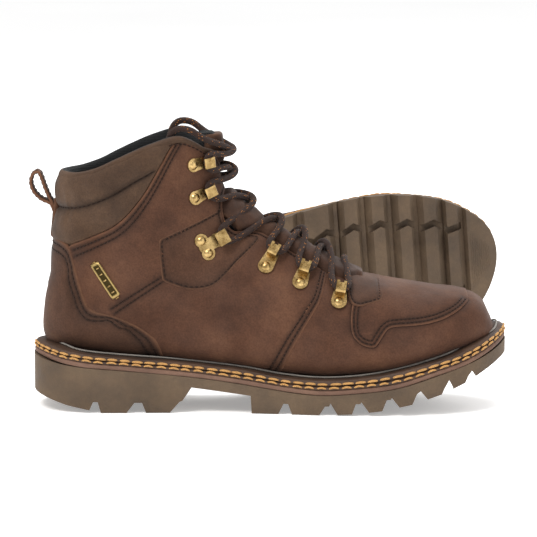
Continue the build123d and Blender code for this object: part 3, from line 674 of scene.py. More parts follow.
def woven(name, dark, light, threads):
    """A cloth of crossing threads, so many to 100 mm of the piece's own UVs."""
    m = Maker(name, Sheen_Weight=0.03, Specular_IOR_Level=0.2)
    uv = m.uv()
    weave = m.math("MAXIMUM", m.wave(threads * 0.314, "X", 0.3, uv), m.wave(threads * 0.314, "Y", 0.3, uv))
    colour = m.mix(m.ramp(weave, (0.35, 0.0), (0.9, 1.0)), dark, light)
    colour = m.dapple(colour, 0.4, 60, 5, 0.55)
    return m.finish(colour, m.cloudy(90, 4, 0.8, 0.98),
                    [(weave, 0.0005, 0.6), (m.noise(1800, 2), 0.0001, 0.5)])


def felt(name, dark, light):
    """Matted fibres."""
    m = Maker(name, Sheen_Weight=0.15, Specular_IOR_Level=0.2)
    fibre = m.noise(900, 6, 0.7, m.stretch(1, 2.6, 1))
    colour = m.mix(m.ramp(fibre, (0.3, 0.0), (0.7, 1.0)), dark, light)
    colour = m.dapple(colour, 0.4, 60, 5, 0.6)
    return m.finish(colour, m.cloudy(200, 4, 0.8, 0.98), [(fibre, 0.0004, 0.5)])


def thread(name, dark, light):
    """Twisted sewing thread."""
    m = Maker(name, Sheen_Weight=0.02, Specular_IOR_Level=0.15)
    twist = m.wave(700, "DIAGONAL", 1.5)
    colour = m.mix(m.ramp(twist, (0.2, 0.0), (0.8, 1.0)), dark, light)
    colour = m.dapple(colour, 0.5, 120, 4, 0.6)
    return m.finish(colour, m.cloudy(400, 3, 0.6, 0.8), [(twist, 0.0002, 0.5)])


def laced(name):
    """A round braided lace: dark strands with pale and orange flecks, from its own UVs."""
    m = Maker(name, Sheen_Weight=0.03, Specular_IOR_Level=0.2)
    uv = m.uv()
    one = m.wave(8.168, "DIAGONAL", 0.3, m.stretch(1, 1, 1, uv))
    two = m.wave(8.168, "DIAGONAL", 0.3, m.stretch(-1, 1, 1, uv))
    braid = m.math("MAXIMUM", one, two)
    strand = m.mix(m.ramp(braid, (0.2, 0.0), (0.9, 1.0)), srgb(12, 8, 7), srgb(58, 42, 36))
    place = m.voronoi(5.0, m.stretch(0.9, 2.4, 1, uv))
    fleck = m.math("MULTIPLY", m.ramp(place, (0.16, 1.0), (0.24, 0.0)), m.ramp(braid, (0.5, 0.0), (0.8, 1.0)))
    colour = m.mix(fleck, strand, srgb(205, 130, 62))
    return m.finish(colour, m.cloudy(300, 3, 0.75, 0.92),
                    [(braid, 0.0006, 0.7), (m.noise(2500, 2), 0.0001, 0.5)])


NUBUCK = nubuck("nubuck_brown", srgb(56, 34, 23), srgb(78, 50, 35), srgb(98, 66, 47))
NUBUCK_DARK = nubuck("nubuck_counter", srgb(53, 33, 22), srgb(73, 48, 34), srgb(92, 63, 45), 1.2)
COLLAR_HIDE = nubuck("nubuck_collar", srgb(46, 31, 21), srgb(67, 48, 34), srgb(86, 64, 47), 1.7, 0.78)
TONGUE_HIDE = nubuck("nubuck_tongue", srgb(40, 25, 17), srgb(60, 39, 28), srgb(80, 55, 40), 1.2)
OUTSOLE_RUBBER = rubber("rubber_outsole", srgb(66, 53, 40), srgb(86, 70, 54), srgb(104, 86, 67))
MIDSOLE_RUBBER = rubber("rubber_midsole", srgb(84, 60, 48), srgb(104, 77, 63), srgb(122, 94, 78), 900)
WELT_RUBBER = rubber("rubber_welt", srgb(46, 31, 22), srgb(64, 45, 33), srgb(82, 60, 45), 1100, 0.6)
BRASS = metal("brass_antique", srgb(120, 94, 54), srgb(206, 176, 120), 0.22)
BRASS_DARK = badge_metal("brass_badge", srgb(62, 52, 30), srgb(172, 148, 96))
STEEL = metal("spring_steel", srgb(120, 122, 125), srgb(196, 198, 200), 0.3)
LINING_CLOTH = woven("lining_mesh", srgb(7, 7, 8), srgb(30, 31, 32), 95)
BED_CLOTH = woven("footbed_cloth", srgb(40, 41, 43), srgb(84, 86, 88), 120)
SEAM_THREAD = thread("seam_thread_brown", srgb(24, 14, 9), srgb(50, 32, 22))
TAN_THREAD = thread("welt_thread_tan", srgb(150, 104, 56), srgb(214, 168, 106))
PALE_CORD = thread("welt_line_grey", srgb(104, 99, 94), srgb(160, 154, 147))
LACE_CLOTH = laced("lace_braid")
BOARD_FIBRE = felt("board_fibre", srgb(120, 98, 70), srgb(170, 146, 112))
REFLECTIVE = metal("reflective_grey", srgb(120, 122, 124), srgb(178, 180, 182), 0.5)
AGLET_TIP = metal("aglet_dark", srgb(60, 44, 30), srgb(120, 92, 62), 0.35)

# ---- camera, light and stage
TARGET = Vector((0.0709, -0.045, 0.0934))
AWAY, RISE = 2.355, math.radians(7.2)
LIT_POINT = Vector((0.08, 0.05, 0.07))
camera = bpy.data.objects.new("camera", bpy.data.cameras.new("camera"))
bpy.context.scene.collection.objects.link(camera)
camera.location = TARGET + Vector((0, -math.cos(RISE), math.sin(RISE))) * AWAY
camera.rotation_euler = (TARGET - camera.location).to_track_quat("-Z", "Y").to_euler()
camera.data.lens = 248.6
camera.data.clip_end = 50
bpy.context.scene.camera = camera
bpy.context.scene.view_settings.view_transform = "Standard"


def area_light(name, place, size, power, colour=(1, 1, 1)):
    """One soft light that faces the boots."""
    data = bpy.data.lights.new(name, "AREA")
    data.shape, data.size, data.size_y = "RECTANGLE", size[0], size[1]
    data.energy, data.color = power, colour
    lamp = bpy.data.objects.new(name, data)
    bpy.context.scene.collection.objects.link(lamp)
    lamp.location = place
    lamp.rotation_euler = (LIT_POINT - Vector(place)).to_track_quat("-Z", "Y").to_euler()


area_light("key", (-0.75, -1.1, 1.7), (0.8, 0.8), 30, (1, 0.98, 0.95))
area_light("fill", (1.4, -1.1, 0.7), (1.2, 1.0), 5)
area_light("top", (0.1, 0.3, 1.9), (1.4, 1.4), 20)
area_light("rim", (0.9, 1.4, 1.0), (1.0, 0.8), 12)
world = bpy.data.worlds.new("world")
world.use_nodes = True
world.node_tree.nodes["Background"].inputs["Color"].default_value = (1, 1, 1, 1)
world.node_tree.nodes["Background"].inputs["Strength"].default_value = 0.7
bpy.context.scene.world = world

floor_mesh = bpy.data.meshes.new("floor")
floor_mesh.from_pydata([(-6, -6, 0), (6, -6, 0), (6, 9, 0), (-6, 9, 0)], [], [(0, 1, 2, 3)])
floor_paint = Maker("floor_paper", Specular_IOR_Level=0.1, Emission_Color=(1, 1, 1, 1), Emission_Strength=0.3)
floor_mesh.materials.append(floor_paint.finish(
    floor_paint.ramp(floor_paint.noise(2, 3), (0.3, 0.93), (0.7, 0.96)), 0.9, []))
floor = bpy.data.objects.new("floor", floor_mesh)
bpy.context.scene.collection.objects.link(floor)
floor.location.z = -0.0003


# ---- seam lines in the domain
def seam_line(points, side, back=False, step=1.5):
    """A smooth side view seam as a domain line."""
    return to_domain(smooth_line(points, step), side, back)


def foot_line(start, end, side, back=False, down=7.0):
    """The upper's foot, hidden behind the welt."""
    xs = np.linspace(start, end, max(3, int(abs(end - start) / 3)))
    return to_domain(np.stack([xs, curve_height(WELT_TOP, xs) - down], 1), side, back)


def inset(line, ring, gap):
    """A domain line moved into a ring."""
    one, other = offset_line(line, gap), offset_line(line, -gap)
    return one if inside(one, closed(ring)).sum() >= inside(other, closed(ring)).sum() else other


def closed(ring):
    """A ring with its first point again at its end."""
    return np.vstack([ring, ring[:1]])


def both(halves):
    """A ring from its two sides."""
    return np.vstack([halves[-1], halves[1][::-1]])


def rows_in(lines, ring, gaps):
    """Lines beside edges, at each of the gaps into a ring."""
    return [inset(line, ring, gap) for line in lines for gap in gaps]


def sewn(line, ring, height, back, gaps, group="seam", **size):
    """Rows of stitches beside an edge."""
    for row in rows_in([line], ring, gaps):
        row = row[inside(row, closed(ring))]
        stitch_row(row, height, back, group, **size)


# ---- laces
# rivet and head of each fitting in side view, from the lowest to the highest
FITTINGS = [((115.6, 71.4), (117.4, 80.2)), ((91, 83), (94.9, 92.8)), ((69.1, 92.8), (75.9, 103.3)),
            ((30.05, 105.3), (39.1, 110.4)), ((23.8, 136.6), (32.4, 140.7)), ((22.6, 157.8), (31.2, 159.7))]
REACHES = (12.0, 13.6, 15.2, 15.4, 13.0, 12.6)
LACE_BACK = (4.2, 4.2, 4.2, 4.0, 4.0, 4.0)
LACE_HEIGHT, TUNNEL_EXIT, PAD_SIDE, PAD_LIFT, UNDER_LIFT, OVER_LIFT = 3.5, 6.4, 9.5, 6.9, 7.0, 11.5
PLATE_LIFT, BAR_PLANE, TAIL_PLANE, LACE_ROUND, AGLET_LENGTH = 0.4, -98.0, 19.0, 2.1, 16
TAIL = [(27, 174, 3.2), (20, 181.5, 0.5), (12, 181, -5.5), (9, 168, -9.2), (6, 152, -9.2), (0, 136, -9.2),
        (-6, 122, -9.2)]


def true_point(x, z, side, lift=0.0):
    """The exact point of the upper over a side view point."""
    def flat(a, b):
        _, centre, _, half = body_at(a, b)
        return np.array([a, centre + side * half, b])
    out = unit(np.cross(flat(x + 0.5, z) - flat(x - 0.5, z), flat(x, z + 0.5) - flat(x, z - 0.5)))
    out *= 1 if out[1] * side > 0 else -1
    return flat(x, z) + out * lift, out


def fitting_places(side):
    """Origin, x, y and z directions of each fitting on one side."""
    places = []
    for rivet, head in FITTINGS:
        spot, out = true_point(*rivet, side)
        way = true_point(*head, side)[0] - spot
        way = unit(way - out * way.dot(out))
        places.append((spot + out * PLATE_LIFT, way, np.cross(out, way), out))
    return places


def ridge(plane, lift, y=0.0):
    """A point over the front of the tongue."""
    front, back, width, centre, widest, _, power = sections_at(plane)
    x, z = side_points(plane, front)
    inner_x, inner_z = side_points(plane, back)
    drop = (back - front) * (1 - widest) * (1 - max(0, 1 - abs((y - centre) / width) ** power) ** (1 / power))
    out = unit(np.array([x - inner_x, 0, z - inner_z]))
    return np.array([x, y, z]) + out * (lift - drop)


def lace_half(side, high):
    """Control points from one lowest ring up to the tail."""
    places = {-1: fitting_places(-1), 1: fitting_places(1)}
    planes = [float(fan_plane(*head)[0]) for _, head in FITTINGS]
    points = []
    for level in range(6):
        now = side if level % 2 == 0 else -side
        origin, x_way, y_way, out = places[now][level]
        toe_way = 1 if y_way[0] > 0 else -1
        for way in (toe_way, -toe_way):
            points.append(origin + x_way * (REACHES[level] - LACE_BACK[level]) + y_way * way * TUNNEL_EXIT
                          + out * LACE_HEIGHT)
        step = planes[level + 1] if level < 5 else TAIL_PLANE
        over = OVER_LIFT if high == (level % 2 == 0) else UNDER_LIFT
        for share in (0.26, 0.5, 0.74):
            reach = PAD_SIDE * (1 - 2 * share) / 0.48
            points.append(ridge(planes[level] + (step - planes[level]) * share,
                                over if share == 0.5 else PAD_LIFT, now * reach))
    return points + [true_point(x, z, side, lift)[0] for x, z, lift in TAIL]


def rounded(points, step):
    """A quadratic spline that keeps to its control polygon, at even steps."""
    p = np.array(points, float)
    mids = (p[:-1] + p[1:]) / 2
    fine = [p[0]]
    for a, b, c in zip(mids[:-1], p[1:-1], mids[1:]):
        for t in np.linspace(0, 1, 14, endpoint=False):
            fine.append(a * (1 - t) ** 2 + b * 2 * t * (1 - t) + c * t * t)
    return resample(np.array(fine + [mids[-1], p[-1]]), step)


def tube(path, radius, sides=14, bump=None):
    """A round tube with even frames: its vertices, faces and UVs."""
    run = unit(np.gradient(path, axis=0))
    up = np.cross(run[0], [0.3, 0.2, 0.9])
    ups = []
    for way in run:
        up = unit(up - way * up.dot(way))
        ups.append(up)
    ups = np.array(ups)
    across = np.cross(run, ups)
    turn = np.arange(sides + 1) * 2 * math.pi / sides
    lengths = lengths_along(path)
    radius = np.broadcast_to(np.asarray(radius, float), (len(path),))[:, None] * np.ones((1, sides + 1))
    if bump:
        radius = radius + bump(lengths[:, None], turn[None, :])
    ring = path[:, None] + radius[..., None] * (ups[:, None] * np.cos(turn)[None, :, None]
                                                + across[:, None] * np.sin(turn)[None, :, None])
    uvs = np.stack(np.broadcast_arrays(lengths[:, None] / LACE_ROUND, turn[None]), -1) / (2 * math.pi)
    faces = grid_faces(len(path), sides + 1) + end_caps(len(path), sides + 1, sides)
    return ring.reshape(-1, 3), faces, uvs.reshape(-1, 2)


def braid(length, turn):
    """The low ridges of a round braid."""
    return 0.09 * np.cos(length * 2.4 + 3 * turn) * np.cos(length * 2.4 - 3 * turn)


one_half, other_half = lace_half(-1, True), lace_half(1, False)
bar = [ridge(BAR_PLANE, lift, y) for y, lift in ((-11, 6.6), (0, 6.9), (11, 6.6))]
lace_points = list(reversed(one_half)) + bar + other_half
lace_path = rounded(lace_points, 0.8)
lace_verts, lace_faces, lace_uvs = tube(lace_path, LACE_ROUND, 16, braid)
add_piece("lace_cord", lace_verts, lace_faces, LACE_CLOTH, "boot", ("lace",), uvs=lace_uvs)
for name, end, inner in (("a", lace_path[0], lace_path[2]), ("b", lace_path[-1], lace_path[-3])):
    out = unit(end - inner)
    shares, radii = np.array([0, 0.02, 0.06, 0.5, 0.94, 0.98, 1]), [2.1, 2.4, 2.5, 2.42, 2.3, 2.1, 1.6]
    verts, faces, uvs = tube(end + shares[:, None] * out * AGLET_LENGTH, radii, 16)
    add_piece(f"lace_tip_{name}", verts, faces, AGLET_TIP, "boot", ("aglets",), uvs=uvs)

# ---- the upper
throat = {side: seam_line(THROAT_EDGE, side) for side in (-1, 1)}


def throat_half(v):
    """How far the throat's edge is from the ridge."""
    line = throat[1][np.argsort(throat[1][:, 0])]
    return np.interp(v, line[:, 0], line[:, 1])


# vamp, under the quarters, the moc plug and the tab
SEAM_ROWS = (2.2, 4.6)
vamp_back = [(104, 86), (99, 76), (91, 60.4), (81, 43), (71, 22)]
sides = {}
for side in (-1, 1):
    sides[side] = np.vstack([to_domain([(122, 84)], side) * [1, 0.3], seam_line(vamp_back, side),
                             foot_line(71.5, 217, side), to_domain([(217, 40)], side)])
vamp_ring = both(sides)
moc = {side: seam_line(MOC_SEAM, side) for side in (-1, 1)}


def vamp_shape(uv, pts, d):
    """Creases where the foot bends."""
    x = pts[:, 0]
    fold = np.exp(-((x - 112 - 3 * np.sin(pts[:, 1] / 9)) / 3.0) ** 2) * 0.5
    fold += np.exp(-((x - 121 - 2 * np.sin(pts[:, 1] / 7 + 1)) / 2.4) ** 2) * 0.35
    return -fold * np.clip((pts[:, 2] - 34) / 16, 0, 1)


panel("vamp_leather", vamp_ring, NUBUCK, base=-1.3, extra=vamp_shape, nodes=("vamp",),
      guides=rows_in(moc.values(), vamp_ring, (0.01,)))

plug_ring = both(moc)
PLUG_ROWS = (2.0, 4.4)


def plug_shape(uv, pts, d):
    """The apron swells a little inside its stitching."""
    return 0.9 * (1 - np.exp(-np.clip(d - 4.6, 0, None) / 5))


_, plug_height = panel("apron_leather", plug_ring, NUBUCK, base=-0.9, thick=1.5, extra=plug_shape,
                       guides=rows_in(moc.values(), plug_ring, PLUG_ROWS), nodes=("apron",))
for side in (-1, 1):
    sewn(moc[side], plug_ring, plug_height, False, PLUG_ROWS)

tab_line = {s: seam_line(TAB + [(124.5, 69.6), (121.4, 75), (121.2, 81)], s, step=1.0) for s in (-1, 1)}
tab_ring = both(tab_line)
_, tab_height = panel("throat_tab_leather", tab_ring, NUBUCK_DARK, base=0.2, thick=1.5, nodes=("throat_tab",),
                      guides=rows_in(tab_line.values(), tab_ring, (2.0,)), wrinkle=0.15)
for side in (-1, 1):
    sewn(tab_line[side], tab_ring, tab_height, False, (2.0,), pitch=2.8, length=2.1)


def quarter_shape(uv, pts, d):
    """Soft diagonal folds across the ankle and a swell over the padding."""
    x, z = pts[:, 0], pts[:, 2]
    along = (x - 20) * 0.82 + (z - 90) * 0.57
    fold = np.zeros(len(x))
    for place, wide, deep in ((18, 4.5, 0.9), (31, 3.6, 0.7), (6, 5.5, 0.6), (46, 4.0, 0.5)):
        bend = place + 4 * np.sin((z - x) / 17 + place)
        fold -= deep * np.exp(-((along - bend) / wide) ** 2)
    reach = np.exp(-((z - 84) / 26) ** 2)
    return fold * reach * np.clip(d / 8, 0, 1)


for side, node in ((-1, "lateral"), (1, "medial")):
    top = seam_line(COLLAR_SEAM, side)
    facing_edge = seam_line(THROAT_EDGE[:-3], side)
    front = seam_line([(108.4, 88.2)] + VAMP_SEAM[1:], side)
    ring = np.vstack([front, foot_line(76, -14, side), to_domain(
        [(-22, 50), (-34, 57), (-46, 68), (-54, 84), (-59, 98), (-59, 103)], side), top,
        to_domain([(22.6, 173.2), (30, 168.3)], side), facing_edge])
    diagonal = seam_line(DIAGONAL_SEAM, side)
    diagonals = [diagonal, offset_line(diagonal, 2.4)]
    rows = rows_in((front, top), ring, SEAM_ROWS) + rows_in([facing_edge], ring, (2.4,)) + diagonals
    _, height = panel(f"quarter_{node}_leather", ring, NUBUCK, base=-1.0, thick=1.4, guides=rows,
                      extra=quarter_shape, nodes=(f"{node}_quarter",))
    for edge, gaps in ((front, SEAM_ROWS), (top, SEAM_ROWS), (facing_edge, (2.4,))):
        sewn(edge, ring, height, False, gaps)
    for row in diagonals:
        stitch_row(row, height, False, "seam")
    patch_edge = seam_line(PATCH + PATCH[:1], side, step=1.2)[:-1]
    _, patch_height = panel(f"ankle_patch_{node}", patch_edge, NUBUCK_DARK, base=0.1, thick=0.75,
                            guides=[closed(inset(patch_edge, patch_edge, 1.8))], nodes=("ankle_patches",),
                            extra=lambda uv, pts, d: quarter_shape(uv, pts, d + 12))
    sewn(closed(patch_edge), patch_edge, patch_height, False, (1.8,), pitch=2.9, length=2.2)

# heel counter and collar, laid out from the back ridge
counter = {s: seam_line(COUNTER_SEAM, s, True) for s in (-1, 1)}
counter_ring = both({s: np.vstack([counter[s], foot_line(4.5, -77, s, True)]) for s in (-1, 1)})
_, counter_height = panel("heel_counter_leather", counter_ring, NUBUCK_DARK, back=True, base=-0.4, thick=1.5,
                          guides=rows_in(counter.values(), counter_ring, SEAM_ROWS), nodes=("heel_counter",))
for side in (-1, 1):
    sewn(counter[side], counter_ring, counter_height, True, SEAM_ROWS)

collar_low = {s: seam_line([(-64, 105)] + COLLAR_SEAM, s, True) for s in (-1, 1)}
collar_top = {s: seam_line(COLLAR_TOP[:7], s, True) for s in (-1, 1)}
quilt = {s: seam_line(QUILT_SEAM, s, True) for s in (-1, 1)}
collar_ring = np.vstack([collar_low[-1][::-1], collar_low[1], collar_top[1][::-1], collar_top[-1]])
quilt_line = np.vstack([quilt[-1][::-1], quilt[1]])


def collar_shape(uv, pts, d):
    """Two padded rolls either side of the quilting line, gathered a little at the seams."""
    gap = distance_to(uv, quilt_line)
    swell = 4.8 * np.sqrt(1 - np.exp(-(gap / 7.0) ** 1.3)) * (1 - np.exp(-d / 4.0))
    gather = 0.35 * np.sin(uv[:, 1] / 2.1 + 2 * noise(pts, 22, 2)) * np.exp(-((gap - 3) / 3.2) ** 2)
    return swell + gather + 0.5 * noise(pts, 16, 2) * np.clip(gap / 6, 0, 1) * np.clip(d / 6, 0, 1)


collars, collar_height = panel("collar_padded", collar_ring, COLLAR_HIDE, back=True, base=-1.9, under=2.5,
                               guides=[quilt_line], extra=collar_shape, nodes=("collar",),
                               seam=0.6, edge=1.6, step=1.9)
stitch_row(quilt_line, collar_height, True, "seam", pitch=3.6, length=2.7)

low, high = to_domain([(-72, 107.5)], 1, True)[0, 0], to_domain([(-72, 131)], 1, True)[0, 0]
stay_ring = np.array([(low, -7.4), (low, 7.4), (high, 6.6), (high - 1.2, 0), (high, -6.6)])
stay_rows = [np.array([(low - 1, s * 5.4), (high + 1, s * 4.9)]) for s in (-1, 1)]
_, stay_height = panel("backstay_leather", stay_ring, NUBUCK_DARK, back=True, base=1.2, thick=1.5,
                       wrinkle=0.1, under=3.0, guides=stay_rows, nodes=("backstay",))
for row in stay_rows:
    stitch_row(resample(row, 1.0), stay_height, True, "seam", pitch=2.8, length=2.1)

# the rolled top edge and shaft lining
rim = {s: seam_line(COLLAR_TOP, s, True) for s in (-1, 1)}
rim_line = resample(np.vstack([rim[-1][::-1], rim[1]]), 1.8)
share = rim_line[:, 1] / np.interp(rim_line[:, 0], ALONG, WHOLE)
ROLL = [(4, -1.2), (2, 0.1), (0.4, 0.9), (-1.0, 0.7), (-2.0, -0.2), (-2.6, -1.8), (-2.6, -3.6), (-1.8, -5.2),
        (-0.2, -6.2), (2.5, -6.7)] + [(6 + 3.2 * k, -6.8) for k in range(32)]
rows, uv_rows = [], []
for down, lift in ROLL:
    v = rim_line[:, 0] + down + 1.8
    u = share * np.interp(v, ALONG, WHOLE)
    base_points, _ = surface(np.stack([v, u], 1), 0.0, True)
    soft = 0.35 * noise(base_points, 18, 1) if down < 4 else 0.5 * noise(base_points, 30, 1)
    points, _ = surface(np.stack([v, u], 1), lift + soft * min(1.0, abs(lift) / 2), True)
    rows.append(points)
    uv_rows.append(np.stack([v, u], 1) * 0.01)
count = len(rim_line)
cuff_faces = [f[::-1] for f in grid_faces(len(rows), count)]
LEATHER_ROWS = 6
split = (LEATHER_ROWS - 1) * (count - 1)
add_piece("collar_binding", np.vstack(rows[:LEATHER_ROWS]), cuff_faces[:split], COLLAR_HIDE,
          "boot", (), uvs=np.vstack(uv_rows[:LEATHER_ROWS]))
add_piece("shaft_lining", np.vstack(rows), cuff_faces[split:], LINING_CLOTH, "boot",
          ("lining", "collar_lining", "insulation"), uvs=np.vstack(uv_rows))
edge_row = np.stack([rim_line[:, 0] + 4.2, share * np.interp(rim_line[:, 0] + 4.2, ALONG, WHOLE)], 1)
stitch_row(edge_row, 0.5, True, "seam", pitch=3.4, length=2.6)

# tongue and its mesh backing
v_top, v_low = to_domain([(43, 176)], 1)[0, 0], to_domain([(131, 80)], 1)[0, 0]
vs = np.linspace(v_top, v_low, 60)
half = np.clip(throat_half(vs) + 5.0, 14, 24)
half[:8] *= np.sqrt(np.clip(np.linspace(0.45, 1.0, 8), 0, 1))
tongue_ring = both({s: np.stack([vs, s * half], 1) for s in (-1, 1)})
CREASES = [(0.10, 1.6, 0.5), (0.21, 2.4, 1.0), (0.33, 2.0, 0.8), (0.47, 3.0, 1.3), (0.56, 2.2, 0.9),
           (0.66, 2.4, 1.1), (0.78, 2.0, 0.8), (0.88, 2.0, 0.7)]


def tongue_shape(uv, pts, d):
    """Crowned between the throat's edges, with folds across where the laces pull."""
    gap = throat_half(uv[:, 0]) - np.abs(uv[:, 1])
    t = np.clip((gap + 2) / 8, 0, 1)
    rise = 6.4 * t * t * (3 - 2 * t)
    share = (uv[:, 0] - v_top) / (v_low - v_top)
    for place, wide, deep in CREASES:
        bend = (share - place) * (v_low - v_top) + 2.5 * np.sin(uv[:, 1] / 7 + place * 20)
        rise -= deep * t * np.exp(-(bend / wide) ** 2)
    return rise + 0.4 * t * noise(pts, 11, 2)


tongues, _ = panel("tongue_leather", tongue_ring, TONGUE_HIDE, base=-4.0, thick=1.6, under=2.2, edge=2.2,
                   extra=tongue_shape, nodes=("tongue",), body="tongue_body", step=1.8, wrinkle=0.1)
back_ring = both({s: np.stack([vs - 1.5, s * (half + 0.8)], 1) for s in (-1, 1)})
panel("tongue_mesh", back_ring, LINING_CLOTH, base=-8.5, thick=2.4, under=1.5, edge=2.0,
      nodes=("tongue_lining",), extra=lambda uv, pts, d: 0.8 * tongue_shape(uv, pts, d),
      body="tongue_body", wrinkle=0.2)

add_group("seam", "seam_stitches", SEAM_THREAD)


# ---- welt, midsole edge and their stitching
plan = smooth_line(OUTLINE, 1.6, closed=True)
if np.linalg.norm(plan[0] - plan[-1]) < 0.01:
    plan = plan[:-1]
tangent = unit(np.roll(plan, -1, axis=0) - np.roll(plan, 1, axis=0))
inward = np.stack([-tangent[:, 1], tangent[:, 0]], 1)
plan_area = np.sum(plan[:, 0] * np.roll(plan[:, 1], -1) - np.roll(plan[:, 0], -1) * plan[:, 1])
inward *= 1 if plan_area > 0 else -1
WELT_DROP, MIDSOLE_TALL, DEEPEST = 2.0, 3.2, 13.0
sole_top, welt_top = curve_height(SOLE_TOP, plan[:, 0]), curve_height(WELT_TOP, plan[:, 0]) - WELT_DROP
mid_top = sole_top + MIDSOLE_TALL


def in_body(points):
    """Whether 3D points are inside the upper's outer face."""
    plane, centre, share, half = body_at(points[:, 0], points[:, 2])
    return (share > 0) & (share < 1) & (np.abs(points[:, 1] - centre) < half) & (plane > SECTIONS[-1, 0])


def foot_gap():
    """How far in from the sole's outline the upper meets the welt's top."""
    gaps = np.full(len(plan), DEEPEST)
    for step in np.arange(DEEPEST, 0.4, -0.25):
        spots = plan + inward * step
        hit = in_body(np.c_[spots, curve_height(WELT_TOP, spots[:, 0]) - WELT_DROP + 0.4])
        gaps[hit] = step
    gaps = np.minimum(gaps, DEEPEST - 0.5)
    for _ in range(12):
        gaps = np.minimum(gaps, (np.roll(gaps, 3) + np.roll(gaps, -3)) / 2 + 0.15)
    return np.convolve(np.r_[gaps[-4:], gaps, gaps[:4]], np.ones(9) / 9, "valid")


gap_to_upper = foot_gap()


def around(inset_by, heights):
    """Points round the outline at an inset and heights."""
    spots = plan + inward * np.broadcast_to(np.asarray(inset_by, float), (len(plan),))[:, None]
    return np.c_[spots, heights]


def swept(profile_rows):
    """A closed skin over rows of points that each go round the outline."""
    verts = np.vstack(profile_rows)
    faces = [tuple(v % len(verts) for v in f) for f in grid_faces(len(profile_rows) + 1, len(plan), True)]
    return verts, faces if plan_area > 0 else [f[::-1] for f in faces]


tall = welt_top - mid_top
wobble = 0.12 * noise(np.c_[plan, welt_top], 14, 0)
# inset in mm and share of the height, up each outer face
WELT_PROFILE = [(15, -0.2), (2.4, -0.05), (1.3, 0.0), (0.75, 0.06), (0.55, 0.14), (0.6, 0.24), (0.9, 0.31),
                (1.5, 0.35), (2.3, 0.38), (2.6, 0.43), (2.3, 0.47), (1.6, 0.49), (1.15, 0.53), (1.0, 0.61),
                (1.1, 0.7), (1.5, 0.77), (2.0, 0.8), (2.3, 0.86), (2.6, 0.93), (3.2, 0.98), (4.2, 1.0)]
MIDSOLE_PROFILE = [(15, 0.02), (1.3, 0.02), (0.7, 0.06), (0.35, 0.2), (0.25, 0.5), (0.35, 0.8), (0.7, 0.95),
                   (1.3, 1.0), (15, 1.0)]
welt_rows = [around(i + wobble, mid_top + tall * s) for i, s in WELT_PROFILE]
welt_rows += [around(np.maximum(4.6, gap_to_upper + 1.0), welt_top + 0.1),
              around(np.maximum(15, gap_to_upper + 3.0), welt_top - 1.5)]
verts, faces = swept(welt_rows)
add_piece("storm_welt", verts, faces, WELT_RUBBER, "boot", ("welt",))
mid_rows = [around(i + 0.5 * wobble, sole_top + MIDSOLE_TALL * s) for i, s in MIDSOLE_PROFILE]
verts, faces = swept(mid_rows)
add_piece("midsole_edge", verts, faces, MIDSOLE_RUBBER, "boot", ("midsole",))


def ring_stitches(group, share_of, inset_by, pitch, length, thick, bow):
    """Heavy lockstitches round the welt, each slightly bowed and a little uneven."""
    path, out = closed(around(inset_by, mid_top + tall * share_of)), closed(-inward)
    lengths = lengths_along(path)
    for begin in np.arange(0, lengths[-1] - pitch, pitch):
        size = length * RNG.uniform(0.92, 1.05)
        at = begin + RNG.uniform(-0.25, 0.25) + np.linspace(0, 1, 9) * size
        pos = sample(at, lengths, path)
        away = unit(np.c_[sample(at, lengths, out), 0 * at])
        arch = np.sin(np.linspace(0, math.pi, 9))
        pos = pos + away * (0.15 + 0.75 * arch[:, None] ** 0.6 - 0.55) + np.array([0, 0, 1]) * (
            bow * arch[:, None] + RNG.uniform(-0.12, 0.12))
        radii = thick * np.array([0.5, 0.8, 0.95, 1, 1, 1, 0.95, 0.8, 0.5])
        add_tube(group, pos, away, radii, 8)


ring_stitches("welt_upper", 0.62, 1.1, 8.0, 7.0, 0.78, 0.35)
ring_stitches("welt_lower", 0.17, 0.65, 8.0, 6.6, 0.66, 0.9)
for group in ("welt_upper", "welt_lower"):
    add_group(group, f"{group}_thread", TAN_THREAD)
line_path = around(np.maximum(gap_to_upper - 1.1, 3.6), welt_top + 0.8)
verts, faces, uvs = tube(np.vstack([line_path, line_path[:2]]), 0.62, 8)
add_piece("welt_line", verts, faces, PALE_CORD, "boot", uvs=uvs)

# ---- pull loop, badge and heel mark
LOOP = [(-67.5, 126), (-69.5, 130.6), (-75.6, 133.6), (-80.4, 138.6), (-82.2, 144.6), (-80.8, 149.6),
        (-77.4, 151.0), (-75.4, 147.6), (-73.4, 141.8), (-70.8, 135.4), (-68.4, 131.2), (-66.6, 127)]
loop_path = smooth_line(LOOP, 1.0)
loop_run = unit(np.gradient(loop_path, axis=0))
loop_out = np.stack([-loop_run[:, 1], loop_run[:, 0]], 1)
HALF_STRAP = [(-6.9, 0.0), (-6.7, 0.6), (-6.1, 0.95), (-5.2, 0.85), (-4.8, 0.72), (-4.4, 0.9)]
STRAP = HALF_STRAP + [(0, 1.0)] + [(-y, z) for y, z in reversed(HALF_STRAP)]
STRAP += [(y, -z) for y, z in STRAP[-2:0:-1]]
strap_rows = []
for k, (spot, out) in enumerate(zip(loop_path, loop_out)):
    squeeze = 1 - 0.05 * math.sin(k / len(loop_path) * math.pi)
    strap_rows.append([(spot[0] + out[0] * h, y * squeeze, spot[1] + out[1] * h) for y, h in STRAP])
count, size = len(strap_rows), len(STRAP)
strap_faces = grid_faces(count, size, True) + end_caps(count, size, size)
# pale strap edges: partly wear, partly a painted highlight
strap_wear_and_highlight = np.tile([math.exp(-(6.9 - abs(y)) / 1.2) for y, _ in STRAP], count)
add_piece("pull_strap", np.array(strap_rows).reshape(-1, 3), strap_faces, NUBUCK, "loop_body",
          ("pull_loop",), attributes={"wear": strap_wear_and_highlight})
LOOP_SHARES = np.linspace(0, 3, 6)[:5]
